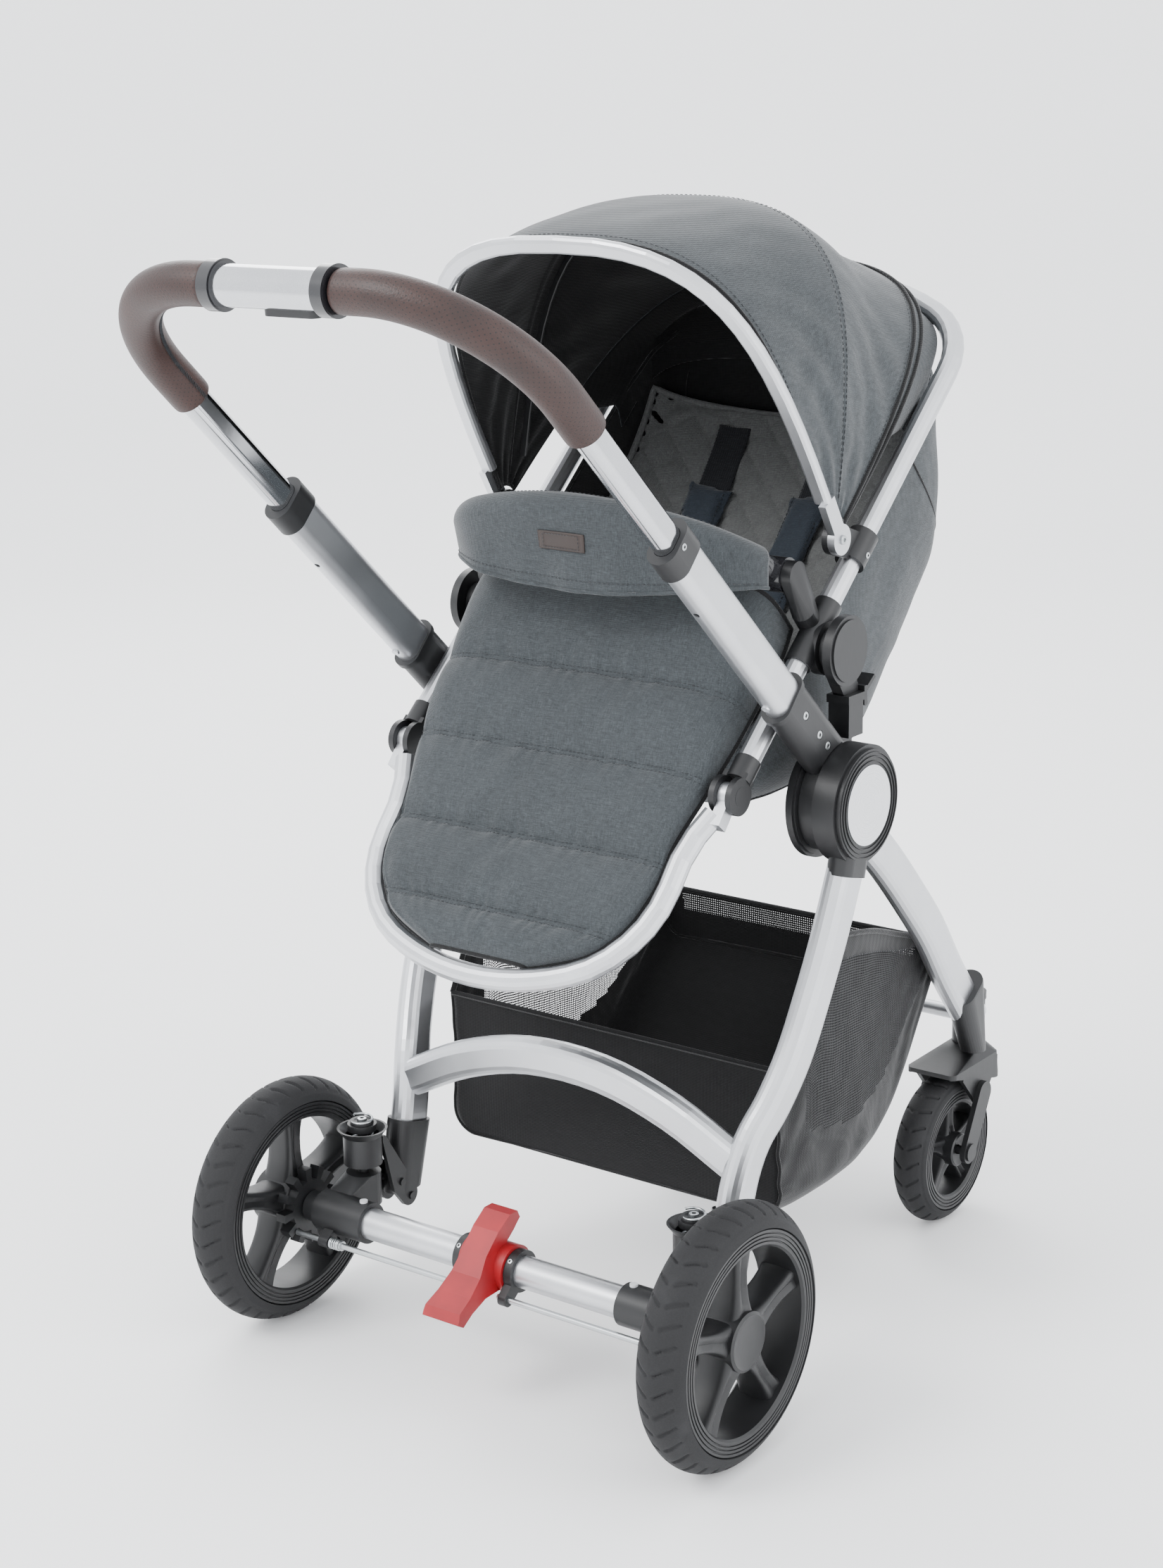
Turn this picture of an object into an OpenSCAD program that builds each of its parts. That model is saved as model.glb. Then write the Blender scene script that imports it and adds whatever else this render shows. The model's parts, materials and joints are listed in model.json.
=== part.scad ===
// Baby stroller with a parent-facing reclining seat, two large rear wheels and two swivel front
// wheels. Millimetres. X is right, Y is the direction of travel, Z is up. The origin is on the
// ground, under the middle of the stroller.

/* [Wheels] */
// Diameter of a rear tyre
rear_wheel_d = 254; // [210:2:300]
// Width of a rear tyre
rear_tyre_w = 54; // [46:1:64]
// Distance between the middles of the rear tyres
rear_track = 546; // [546:2:640]
// Diameter of a front tyre
front_wheel_d = 169; // [140:1:200]
// Width of a front tyre
front_tyre_w = 42; // [36:1:48]
// Distance between the two swivel axes
front_track = 324; // [270:2:330]
// Distance from rear axle to front axle
wheelbase = 594; // [560:2:640]
// How far the front axle trails behind its swivel axis
caster_trail = 56; // [40:1:66]

/* [Chassis] */
// Place of the rear axle along the stroller
rear_axle_y = -202; // [-230:1:-190]
// Height of the folding hubs
hub_z = 570; // [540:2:600]
// Place of the folding hubs along the stroller
hub_y = 54; // [44:1:64]
// Radius of a folding hub
hub_r = 58; // [52:1:62]
// Side of a leg tube seen from beside the stroller
leg_a = 44; // [38:1:50]
// Side of a leg tube seen from behind
leg_b = 27; // [22:0.5:27]
// Diameter of the rear axle tube
axle_tube_d = 32; // [28:1:36]

/* [Handle] */
// Distance between the middles of the handle's arms
handle_w = 442; // [442:1:450]
// Lean of the handle from level
handle_lean = 43.3; // [38:0.5:52]
// Distance from the folding hub to the grip bar
handle_l = 721; // [680:1:780]
// Lower arm's side in the plane of the side view
arm_a = 44; // [38:1:48]
// Lower arm's width across the stroller
arm_b = 25; // [23:0.5:26]
// Diameter of the padded grip
grip_d = 38; // [30:1:40]

/* [Seat] */
// Distance between the middles of the seat frame's side tubes
seat_w = 388; // [366:1:388]
// Diameter of the seat frame's tube
seat_tube_d = 22; // [18:1:22]
// Slope of the seat frame from level
seat_slope = 42; // [36:1:48]
// Height of the seat's recline pivots
seat_pivot_z = 713; // [700:1:740]
// Place of the recline pivots along the stroller
seat_pivot_y = 68; // [60:1:76]
// Length of the seat frame above the recline pivot
seat_top_l = 453; // [420:1:500]
// Length of the footrest below its hinge
footrest_l = 224; // [200:1:240]
// Height of the canopy's front bow above its pivot
bow_h = 325; // [290:1:350]

/* [Basket] */
// Height of the basket's rear panel
basket_rear_h = 154; // [120:1:170]
// Width of the basket at the rear
basket_w = 412; // [360:2:412]

/* [Hidden] */
$fn = 48;

// Fits
gap = 0.3;          // between parts that move past each other
run_gap = 0.05;     // radial clearance of a running shaft
fabric_t = 3;       // thickness of a fabric panel
liner_t = 8;        // thickness of the quilted liner
tube_t = 1.8;       // wall of an oval tube

// Colours
alu = [0.78, 0.79, 0.80];
chrome = [0.72, 0.73, 0.75];
black = [0.07, 0.07, 0.08];
rubber = [0.04, 0.04, 0.04];
steel = [0.6, 0.62, 0.64];
cloth = [0.26, 0.30, 0.32];
grey_cloth = [0.45, 0.46, 0.46];
brown = [0.24, 0.14, 0.12];
red = [0.62, 0.08, 0.12];
white = [0.85, 0.85, 0.85];

// Across the stroller: three layers of each folding hub, from the inside to the outside
arm_x = handle_w / 2;
seat_x = seat_w / 2;
drum_t = 19.4;
drum_x0 = arm_x - 6.7;
inner_t = 11;
inner_x0 = drum_x0 - gap - inner_t;
outer_x0 = drum_x0 + drum_t + gap;
outer_t = 27.7;
drum_r = hub_r - 8;
hub_pin_r = 6;
hub_clear_r = hub_r + 1.5;

// Wheels
axle_z = rear_wheel_d / 2;
front_axle_z = front_wheel_d / 2;
front_axle_y = rear_axle_y + wheelbase;
swivel_x = front_track / 2;
swivel_y = front_axle_y + caster_trail;
rear_x = rear_track / 2;
stub_r = 5;
ring_slots = 12;
ring_r = 40;
rod_r = 3;
rod_y = -23.5;                  // from the axle
rod_z = -21;
rod_travel = 7;
pedal_half = 22;
rod_angle = atan2(rod_z, rod_y);
ring_x = rear_x - rear_tyre_w / 2 - 7.5;    // inner face of the brake ring
sleeve_x0 = 158;
sleeve_x1 = ring_x - 2;
sleeve_r = 21;

// Rear suspension cups stand on the axle sleeves, in front of the axle
cup_x = 205;
cup_y = 44;
cup_r = 20;
cup_z0 = 158 - 127;
cup_z1 = 203 - 127;
post_r = 5;
suspension_travel = 8;

// Front swivels
housing_r = 18;
housing_z0 = front_wheel_d + 23;
housing_z1 = housing_z0 + 58;
stem_r = 6;
fork_gap = 4;
fork_t = 5;
arm_pivot_y = front_axle_y + 32;
arm_pivot_z = front_axle_z + 60;

// Handle, in its own axes: X across, Y square to the arms, Z along them
arm_p = 23;                     // arms lie this far in front of the hub's centre
flange_a = 146.5;
collar_a = 385;
grip_a = 551;
tube_a = 31;
tube_b = 20;
bar_r = 10;
bend_r = 130;
ring_half = 69;
button_x = 18;
button_l = 60;
button_turn = 50;              // from square to the arms towards the ground
handle_travel = 120;

// Seat frame, in its own axes: X across, Y up along the tubes, Z out of the seat's plane
tube_n = 15;                    // tubes lie this far in front of the recline pivot
top_r = 90;
crown_r = 300;
hinge_s = -186;
disc_r = 34;
bow_s = 84;
bow_n = 60;
bow_angle = 79;
bow_w = 200;
bow_swell = 16;
canopy_back_angle = -7;
foot_drop = 8;
foot_w = seat_x - 24;
foot_r = 110;
foot_crown_r = 260;
button_travel = 3;
button_r = 9;
knuckle_r = 12;
bumper_s = 28;                  // elbow, from the recline pivot
bumper_n = 71;
bumper_r = 14;
elbow_r = 17;
elbow_x = seat_x - 16;          // inner face of the plug at the elbow
elbow_pin_r = 4;

// ---------------------------------------------------------------- helpers

module both_sides() {
    children();
    mirror([1, 0, 0]) children();
}

// side is 1 for right and -1 for left
module on_side(side) {
    if (side > 0) children();
    else mirror([1, 0, 0]) children();
}

module in_handle() translate([0, hub_y, hub_z]) rotate([90 - handle_lean, 0, 0]) children();

module in_seat() translate([0, seat_pivot_y, seat_pivot_z]) rotate([seat_slope, 0, 0]) children();

module in_footrest() in_seat() translate([0, hinge_s, tube_n]) rotate([foot_drop, 0, 0]) children();

// A disc or rod whose axis runs along X from x0
module x_cyl(r, x0, l) translate([x0, 0, 0]) rotate([0, 90, 0]) cylinder(r = r, h = l);

module x_ring(r, r_in, x0, l) difference() {
    x_cyl(r, x0, l);
    x_cyl(r_in, x0 - 1, l + 2);
}

// Flat-sided oval, a along Y and b along X
module oval(a, b) {
    square([b, a - b], center = true);
    for (s = [-1, 1]) translate([0, s * (a - b) / 2]) circle(d = b);
}

module oval_tube(a, b, t, l) linear_extrude(l) difference() {
    oval(a, b);
    oval(a - 2 * t, b - 2 * t);
}

function oval_ring(a, b, n) = [
    for (i = [0 : n - 1])
        let (t = 360 * (i + 0.5) / n)
            [b / 2 * cos(t), b / 2 * sin(t) + sign(sin(t)) * (a - b) / 2]
];

// Catmull-Rom curve through a list of points, n steps to a stretch
function spline_at(p0, p1, p2, p3, t) = 0.5 * (2 * p1 + (p2 - p0) * t
    + (2 * p0 - 5 * p1 + 4 * p2 - p3) * t * t + (3 * p1 - p0 - 3 * p2 + p3) * t * t * t);
function spline(p, n) = [
    for (i = [0 : len(p) - 2], k = [0 : n - 1])
        let (a = i == 0 ? 2 * p[0] - p[1] : p[i - 1],
             d = i == len(p) - 2 ? 2 * p[i + 1] - p[i] : p[i + 2])
            spline_at(a, p[i], p[i + 1], d, k / n),
    p[len(p) - 1]
];

function unit(v) = v / norm(v);
function tangent(p, i) = unit(p[min(i + 1, len(p) - 1)] - p[max(i - 1, 0)]);

// Hoop in a plane from one open end over the top to the other: half width w, crown at top, corner
// radius r1 and crown radius r2, n steps round a corner
function hoop_corner(w, r1, r2) = acos((w - r1) / (r2 - r1));
function hoop_half(w, top, r1, r2, n) =
    let (c = hoop_corner(w, r1, r2), s = top - r2 + (r2 - r1) * sin(c)) concat(
        [for (k = [0 : n]) [w - r1 + r1 * cos(c * k / n), s + r1 * sin(c * k / n)]],
        [for (k = [1 : n]) let (t = c + (90 - c) * k / n) [r2 * cos(t), top - r2 + r2 * sin(t)]]);
function hoop(start, w, top, r1, r2, n) =
    let (half = concat(start, hoop_half(w, top, r1, r2, n)))
        concat(half, [for (k = [len(half) - 2 : -1 : 0]) [-half[k][0], half[k][1]]]);

// Section carried along a path, with its own X axis held near the world direction side
module sweep(path, section, side = [1, 0, 0]) {
    n = len(section);
    m = len(path);
    points = [
        for (i = [0 : m - 1])
            let (t = tangent(path, i), u = unit(side - (side * t) * t), v = cross(t, u))
                for (s = section) path[i] + s[0] * u + s[1] * v
    ];
    walls = [
        for (i = [0 : m - 2], k = [0 : n - 1])
            let (a = i * n + k, b = i * n + (k + 1) % n)
                each [[a, a + n, b + n], [a, b + n, b]]
    ];
    polyhedron(points, concat([[for (k = [0 : n - 1]) k], [for (k = [n - 1 : -1 : 0]) (m - 1) * n + k]],
        walls));
}

// A sheet given as rows of outer points and the same rows of inner points, closed round its rim
module sheet(outer, inner) {
    rows = len(outer);
    cols = len(outer[0]);
    n = rows * cols;
    points = concat([for (r = outer, p = r) p], [for (r = inner, p = r) p]);
    function at(i, j) = i * cols + j;
    faces = [
        for (i = [0 : rows - 2], j = [0 : cols - 2])
            each [
                [at(i, j), at(i, j + 1), at(i + 1, j + 1)], [at(i, j), at(i + 1, j + 1), at(i + 1, j)],
                [n + at(i, j), n + at(i + 1, j + 1), n + at(i, j + 1)],
                [n + at(i, j), n + at(i + 1, j), n + at(i + 1, j + 1)]
            ]
    ];
    rim = concat(
        [for (j = [0 : cols - 1]) at(0, j)], [for (i = [1 : rows - 1]) at(i, cols - 1)],
        [for (j = [cols - 2 : -1 : 0]) at(rows - 1, j)], [for (i = [rows - 2 : -1 : 1]) at(i, 0)]);
    edges = [
        for (k = [0 : len(rim) - 1])
            let (a = rim[k], b = rim[(k + 1) % len(rim)])
                each [[a, n + b, b], [a, n + a, n + b]]
    ];
    polyhedron(points, concat(faces, edges));
}

module screw_head(r = 4) difference() {
    cylinder(r = r, h = 2);
    translate([0, 0, 1]) cylinder(r = r * 0.45, h = 2, $fn = 6);
}

// ---------------------------------------------------------------- front frame

leg_foot_x = 203;

// Leg paths, from the folding hub down, right side
front_leg_path = spline([
    [arm_x, hub_y + 46, hub_z - 37], [arm_x - 8, hub_y + 114, hub_z - 90],
    [arm_x - 15, hub_y + 175, hub_z - 144], [arm_x - 21, hub_y + 230, hub_z - 197],
    [arm_x - 29, hub_y + 287, hub_z - 261], [swivel_x + 24, swivel_y - 38, housing_z0 + 42]
], 4);
rear_leg_path = spline([
    [outer_x0 + outer_t / 2, hub_y - 12, hub_z - 46], [outer_x0 + outer_t / 2 - 4, hub_y - 37, hub_z - 117],
    [236, hub_y - 57, hub_z - 181], [231, hub_y - 82, hub_z - 235],
    [222, hub_y - 104, hub_z - 278], [211, hub_y - 123, hub_z - 313],
    [leg_foot_x + 1, rear_axle_y + 120, axle_z + 86], [leg_foot_x, rear_axle_y + 108, axle_z + 30]
], 4);

module front_legs() color(alu) {
    both_sides() sweep(front_leg_path, oval_ring(leg_a, leg_b, 20));
    translate([-swivel_x + housing_r, swivel_y, housing_z0 + 29]) x_cyl(8, 0, front_track - 2 * housing_r);
}

module front_leg_hubs() color(black) both_sides() {
    translate([0, hub_y, hub_z]) {
        difference() {
            union() {
                x_cyl(hub_r - 3, inner_x0, inner_t);
                x_cyl(hub_r, inner_x0 + 2, inner_t - 4);
            }
            x_cyl(hub_pin_r, inner_x0 - 1, inner_t + 2);
        }
        intersection() {
            rotate([-38.5, 0, 0]) difference() {
                translate([arm_x, 66, 0]) rotate([-90, 0, 0]) translate([0, 0, -24])
                    linear_extrude(30) oval(leg_a + 4, leg_b + 3);
                translate([drum_x0 - gap, 0, -60]) cube([60, hub_clear_r, 120]);
            }
            translate([inner_x0, -200, -200]) cube([60, 400, 400]);
        }
    }
}

module hub_pins() color(steel) both_sides() translate([0, hub_y, hub_z]) {
    x_cyl(hub_pin_r, inner_x0 - 1, outer_x0 + outer_t - inner_x0 - 5);
    x_cyl(11, inner_x0 - 4, 4);
}

post_y = 34;                    // middle of the seat post, in front of the hub's centre
post_l = 26;
post_x1 = arm_x + 5;
socket_z = seat_pivot_z - disc_r - 12;

module seat_posts() color(black) both_sides() difference() {
    union() {
        translate([inner_x0, hub_y + post_y - post_l / 2, hub_z + 20])
            cube([inner_t, post_l, socket_z - hub_z - 20]);
        translate([inner_x0, hub_y + post_y - post_l / 2, hub_z + hub_clear_r - 4])
            cube([post_x1 - inner_x0, post_l, socket_z - hub_z - hub_clear_r + 4]);
        translate([inner_x0 - 1, hub_y + post_y - post_l / 2 - 2, socket_z - 8])
            cube([post_x1 - inner_x0 + 2, post_l + 4, 8]);
    }
    translate([drum_x0 - gap, hub_y, hub_z]) rotate([0, 90, 0]) cylinder(r = hub_clear_r, h = 60);
    translate([0, hub_y, hub_z]) x_cyl(hub_r, inner_x0 - 2, inner_t + 3);
    tongue(gap, 1);
}

// Tongue of the seat adapter, which drops into the post
module tongue(grow, extra) translate([inner_x0 + 5 - grow, hub_y + post_y - 8 - grow, socket_z - 22 - extra])
    cube([12 + 2 * grow, 16 + 2 * grow, 40]);

module swivel_housings() color(black) both_sides() {
    translate([swivel_x, swivel_y, 0]) {
        difference() {
            translate([0, 0, housing_z0]) cylinder(r = housing_r, h = 50);
            translate([0, 0, housing_z0 - 1]) cylinder(r = stem_r + run_gap, h = 44);
        }
        translate([0, 0, housing_z0 + 50.5]) {
            cylinder(r = housing_r + 1, h = 8);
            translate([0, 0, -1]) cylinder(r = housing_r - 3, h = 1);
        }
    }
    difference() {
        hull() {
            translate([swivel_x + 24, swivel_y - 33, housing_z0 + 4]) cylinder(r = 14, h = 3, $fn = 32);
            translate([swivel_x + 30, swivel_y - 66, housing_z0 + 84]) rotate([35, 0, 0])
                linear_extrude(3) oval(leg_a + 8, leg_b + 7);
            translate([swivel_x + 8, swivel_y - 14, housing_z0 + 4]) cylinder(r = 10, h = 36, $fn = 32);
        }
        translate([swivel_x, swivel_y, housing_z0 - 1]) cylinder(r = housing_r, h = 90);
    }
}

basket_y0 = hub_y - 62;
module basket() color(black) difference() {
    basket_body(0);
    basket_body(fabric_t);
}

// Outline of the basket from the side, pulled in by d, open at the top when d is above 0
module basket_body(d) {
    up = d > 0 ? 40 : 0;
    rear_z = 153;
    side = [
        [basket_y0 + d, rear_z + d], [basket_y0 + 60, 148 + d], [basket_y0 + 170, 150 + d],
        [basket_y0 + 252 - d, 174 + d], [basket_y0 + 309 - d, 236 + d], [basket_y0 + 350 - d, 284 + d],
        [basket_y0 + 351 - d, 340 + up], [basket_y0 + 176, 402 + up], [basket_y0 + 61, 426 + up],
        [basket_y0 + d, rear_z + basket_rear_h + up]
    ];
    w = basket_w / 2 - d;
    intersection() {
        rotate([90, 0, 90]) translate([0, 0, -w]) linear_extrude(2 * w) polygon(side);
        linear_extrude(600) polygon([
            [-w, basket_y0], [w, basket_y0], [w - 4, basket_y0 + 150], [w - 20, basket_y0 + 250],
            [w - 26.2, basket_y0 + 326], [w - 30.2, basket_y0 + 361], [-w + 30.2, basket_y0 + 361],
            [-w + 26.2, basket_y0 + 326], [-w + 20, basket_y0 + 250], [-w + 4, basket_y0 + 150]
        ]);
    }
}

module seat_release(side) color(black) on_side(side)
    translate([0, hub_y + post_y + post_l / 2 + 2 + gap + 3, socket_z - 12]) {
        x_cyl(3, inner_x0 + 2, post_x1 - inner_x0 - 2);
        translate([inner_x0 + 2, -3, 0]) cube([post_x1 - inner_x0 - 2, 5, 17]);
        translate([inner_x0 + 2, -1, 14]) rotate([-55, 0, 0]) cube([post_x1 - inner_x0 - 2, 4, 20]);
    }

module swivel_lock(side) color(white) on_side(side)
    translate([swivel_x, swivel_y + housing_r + gap, housing_z0 + 36]) {
        translate([-3, 0, -2]) cube([6, 5.5, 4]);
        translate([-4, 5.5, -3]) cube([8, 3.4, 6]);
    }

// ---------------------------------------------------------------- swivel forks

module front_fork(side) color(black) on_side(side) {
    w = front_tyre_w / 2 + fork_gap;
    translate([swivel_x, swivel_y, housing_z0 - 17]) cylinder(r = stem_r, h = 57);
    difference() {
        hull() {
            translate([swivel_x, swivel_y, housing_z0 - gap - 5]) cylinder(r = housing_r, h = 5, $fn = 32);
            for (x = [-1, 1], y = [-78, 10])
                translate([swivel_x + x * (w - 3), swivel_y + y, housing_z0 - 17]) cylinder(r = 8, h = 6, $fn = 32);
            for (x = [-1, 1])
                translate([swivel_x + x * (w - 3), swivel_y + 14, housing_z0 - 42]) cylinder(r = 8, h = 6, $fn = 32);
        }
        translate([swivel_x - w, swivel_y - 200, housing_z0 - 100]) cube([2 * w, 400, 84]);
        translate([swivel_x, swivel_y, housing_z0 - gap]) cylinder(r = 40, h = 40);
    }
    for (x = [-1, 1]) difference() {
        translate([swivel_x + x * (w + fork_t / 2), 0, 0]) hull() {
            translate([0, arm_pivot_y, arm_pivot_z]) x_cyl(14, -fork_t / 2, fork_t);
            translate([-fork_t / 2, swivel_y - 64, housing_z0 - 24]) cube([fork_t, 78, 9]);
        }
        translate([swivel_x - 50, arm_pivot_y, arm_pivot_z]) x_cyl(3 + run_gap, 0, 100);
    }
}

module front_arm(side) color(black) on_side(side) {
    w = front_tyre_w / 2 + fork_gap + fork_t + gap;
    for (x = [-1, 1]) translate([swivel_x + x * (w + 3), 0, 0]) hull() {
        translate([0, arm_pivot_y, arm_pivot_z]) x_cyl(13, -3, 6);
        translate([0, front_axle_y, front_axle_z]) x_cyl(13, -3, 6);
    }
    translate([swivel_x, arm_pivot_y, arm_pivot_z]) for (x = [-1, 1])
        x_cyl(3, x > 0 ? w - fork_t - 1 : -w - 1, fork_t + 2);
    translate([swivel_x, front_axle_y, front_axle_z]) x_cyl(stub_r, -w - 1, 2 * w + 2);
    translate([swivel_x + w + 6, front_axle_y, front_axle_z]) x_cyl(10, 0, 2.5);
}

// Wheel rim: a channel ring, a hub with a bore bore_l long, and five slotted spokes, about X at the origin
module rim(r, w, hub_w, bore_l) {
    difference() {
        union() {
            rotate([0, 90, 0]) rotate_extrude() {
                translate([r - 9, -w / 2 + 3]) square([5, w - 6]);
                for (s = [-1, 1]) translate([r - 9, s > 0 ? w / 2 - 6 : -w / 2 + 3]) square([9, 3]);
            }
            x_cyl(r * 0.27, -hub_w / 2, hub_w);
            for (k = [0 : 4]) rotate([k * 72, 0, 0]) translate([-w / 2 + 8, 0, 0]) spoke(r, w - 16);
        }
        x_cyl(stub_r + run_gap, -hub_w / 2 - 1, bore_l + 1);
        for (k = [0 : 4]) rotate([k * 72, 0, 0]) for (x = [-w / 2, w / 2 - 10])
            translate([x, 0, 0]) spoke(r * 0.8, 10, r * 0.12, r * 0.035);
    }
}

module spoke(r, t, r0 = 0, half = 0) {
    b = half > 0 ? half : r * 0.115;
    translate([0, 0, r0]) rotate([90, 0, 90]) linear_extrude(t) {
        translate([-b, 0]) square([2 * b, r - r0 - 6]);
        if (half > 0) for (y = [0, r - r0 - 6]) translate([0, y]) circle(b);
    }
}

module tyre(r, w, rim_r) rotate([0, 90, 0]) rotate_extrude($fn = 96) difference() {
    intersection() {
        translate([rim_r, -w / 2]) square([r - rim_r, w]);
        translate([r - 0.62 * w, 0]) scale([1, 0.86]) circle(0.62 * w);
    }
    translate([rim_r - 1, -w / 2 + 3 - 0.2]) square([0.5, w]);
}

module front_rim(side) color(black) on_side(side) translate([swivel_x, front_axle_y, front_axle_z])
    rim(front_axle_z * 0.82, front_tyre_w, front_tyre_w + 6, front_tyre_w + 7);

module front_tyre(side) color(rubber) on_side(side) translate([swivel_x, front_axle_y, front_axle_z])
    tyre(front_axle_z, front_tyre_w, front_axle_z * 0.82);

// ---------------------------------------------------------------- rear frame

arch_z = rear_leg_path[len(rear_leg_path) - 6][2] + 12;
arch_y = rear_leg_path[len(rear_leg_path) - 6][1] - 2;
arch_path = spline([
    [-200, arch_y, arch_z], [-127, arch_y - 2, arch_z + 36], [-45, arch_y - 3, arch_z + 58],
    [45, arch_y - 3, arch_z + 58], [127, arch_y - 2, arch_z + 36], [200, arch_y, arch_z]
], 4);

module rear_legs() color(alu) {
    both_sides() sweep(rear_leg_path, oval_ring(leg_a, leg_b, 20));
    sweep(arch_path, oval_ring(40, 26, 20), side = [0, 1, 0]);
}

module rear_leg_hubs() color(black) both_sides() translate([0, hub_y, hub_z]) {
    difference() {
        union() {
            x_cyl(hub_r, outer_x0, outer_t - 4);
            x_cyl(hub_r - 4, outer_x0, outer_t);
            rotate([-105, 0, 0]) translate([outer_x0 + outer_t / 2, 40, 0]) rotate([-90, 0, 0])
                linear_extrude(30) oval(leg_a + 3, outer_t - 0.4);
        }
        x_cyl(hub_pin_r + run_gap, outer_x0 - 1, outer_t - 4);
        x_cyl(39 + 0.1, outer_x0 + outer_t - 2.5, 5);
    }
}

module hub_covers() color(chrome) both_sides() translate([0, hub_y, hub_z])
    x_cyl(39, outer_x0 + outer_t - 2.5, 3.2);

module leg_brackets() color(black) both_sides() {
    // sleeve on the leg's foot
    hull() {
        translate([leg_foot_x, rear_axle_y + 114, axle_z + 62]) rotate([-14, 0, 0])
            linear_extrude(4) oval(leg_a + 7, leg_b + 6);
        translate([leg_foot_x, rear_axle_y + 100, axle_z - 6]) linear_extrude(4) oval(leg_a + 1, leg_b + 5);
    }
    // web from the foot to the cup
    for (x = [leg_foot_x - 15, leg_foot_x + 13]) hull() {
        translate([x, rear_axle_y + 96, axle_z - 10]) x_cyl(12, 0, 5);
        translate([x, rear_axle_y + 82, axle_z + 6]) x_cyl(11, 0, 5);
        translate([x, rear_axle_y + cup_y + 12, axle_z + cup_z1 - 14]) cube([5, 4, 6]);
    }
    for (p = [[98, -12], [84, 8]]) translate([leg_foot_x - 17, rear_axle_y + p[0], axle_z + p[1]]) x_cyl(4, 0, 37);
    // cup with a flared mouth
    translate([cup_x, rear_axle_y + cup_y, axle_z]) rotate_extrude() polygon([
        [post_r + 0.3, cup_z0 + suspension_travel + 1], [cup_r, cup_z0 + suspension_travel + 1],
        [cup_r, cup_z1 - 6], [cup_r + 6, cup_z1 + 2], [cup_r + 3.5, cup_z1 + 2], [cup_r - 2.5, cup_z1 - 5],
        [cup_r - 2.5, cup_z0 + 15], [post_r + 0.3, cup_z0 + 15]
    ]);
}

// Coil spring as a tube of its outer size
module suspension_springs() color(steel) both_sides()
    translate([cup_x, rear_axle_y + cup_y, axle_z + cup_z0 + 15]) difference() {
        cylinder(r = 12, h = cup_z1 - cup_z0 - 15);
        translate([0, 0, -1]) cylinder(r = 9, h = 80);
    }

// ---------------------------------------------------------------- rear axle

module axle_tube() color(alu) translate([0, rear_axle_y, axle_z]) {
    difference() {
        x_cyl(axle_tube_d / 2, -190, 380);
        x_cyl(axle_tube_d / 2 - 2, -191, 382);
        both_sides() translate([sleeve_x0 + 9, 0, 5]) cylinder(r = 4 + gap, h = 20);
    }
}

module axle_sleeves() color(black) both_sides() translate([0, rear_axle_y, axle_z]) {
    difference() {
        union() {
            x_cyl(sleeve_r, sleeve_x0, sleeve_x1 - sleeve_x0 - 16);
            x_cyl(sleeve_r - 5, sleeve_x0, sleeve_x1 - sleeve_x0);
            // boss under the suspension cup
            hull() {
                translate([cup_x, cup_y, -4]) cylinder(r = cup_r - 2, h = cup_z0 + 4 - 0.5, $fn = 32);
                translate([cup_x - 14, 0, -10]) cube([28, 10, 26]);
            }
            // eyelet for the brake rod
            hull() {
                translate([sleeve_x1 - 44, rod_y, rod_z]) x_cyl(rod_r + 3.5, 0, 12);
                translate([sleeve_x1 - 44, -12, -10]) x_cyl(4, 0, 12);
            }
        }
        x_cyl(axle_tube_d / 2, sleeve_x0 - 1, 190 - sleeve_x0 + 1);
        x_cyl(stub_r, 150, 100);
        translate([sleeve_x1 - 60, rod_y, rod_z]) x_cyl(rod_r + run_gap, 0, 80);
        translate([sleeve_x0 + 9, 0, 10]) cylinder(r = 4 + run_gap, h = 20);
        translate([cup_x, cup_y, -10]) cylinder(r = post_r, h = 80);
    }
    x_cyl(stub_r, 191, rear_x - 191 + rear_tyre_w / 2 - 9);
}

module guide_posts() color(black) both_sides() translate([cup_x, rear_axle_y + cup_y, axle_z]) {
    translate([0, 0, -2]) cylinder(r = post_r, h = cup_z1 + 2);
    translate([0, 0, cup_z1]) cylinder(r = 15, h = 7);
    translate([0, 0, cup_z1 + 7]) cylinder(r = 12, h = 3);
    translate([0, 0, cup_z1 + 10]) screw_head(5);
}

module pedal_collars() color(black) both_sides() translate([0, rear_axle_y, axle_z]) difference() {
    union() {
        x_cyl(sleeve_r, 27, 9);
        hull() {
            translate([0, rod_y, rod_z]) x_cyl(rod_r + 4, 27, 9);
            translate([0, -9, -9]) x_cyl(8, 27, 9);
        }
    }
    x_cyl(axle_tube_d / 2, 20, 30);
    translate([0, rod_y, rod_z]) x_cyl(rod_r + run_gap, 20, 30);
}

module rear_rim(side) color(black) on_side(side) translate([rear_x, rear_axle_y, axle_z]) {
    rim(axle_z * 0.84, rear_tyre_w, rear_tyre_w - 8, rear_tyre_w - 13);
    // brake ring with pockets for the rod
    difference() {
        x_ring(ring_r, stub_r + run_gap, ring_x - rear_x, 12);
        for (k = [0 : ring_slots - 1]) rotate([rod_angle + k * 360 / ring_slots, 0, 0])
            translate([ring_x - rear_x - 1, 26, -4.5]) cube([9, 20, 9]);
    }
    x_ring(14, stub_r + run_gap, ring_x - rear_x + 11, 12);
}

module rear_tyre(side) color(rubber) on_side(side) translate([rear_x, rear_axle_y, axle_z])
    tyre(axle_z, rear_tyre_w, axle_z * 0.84);

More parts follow.
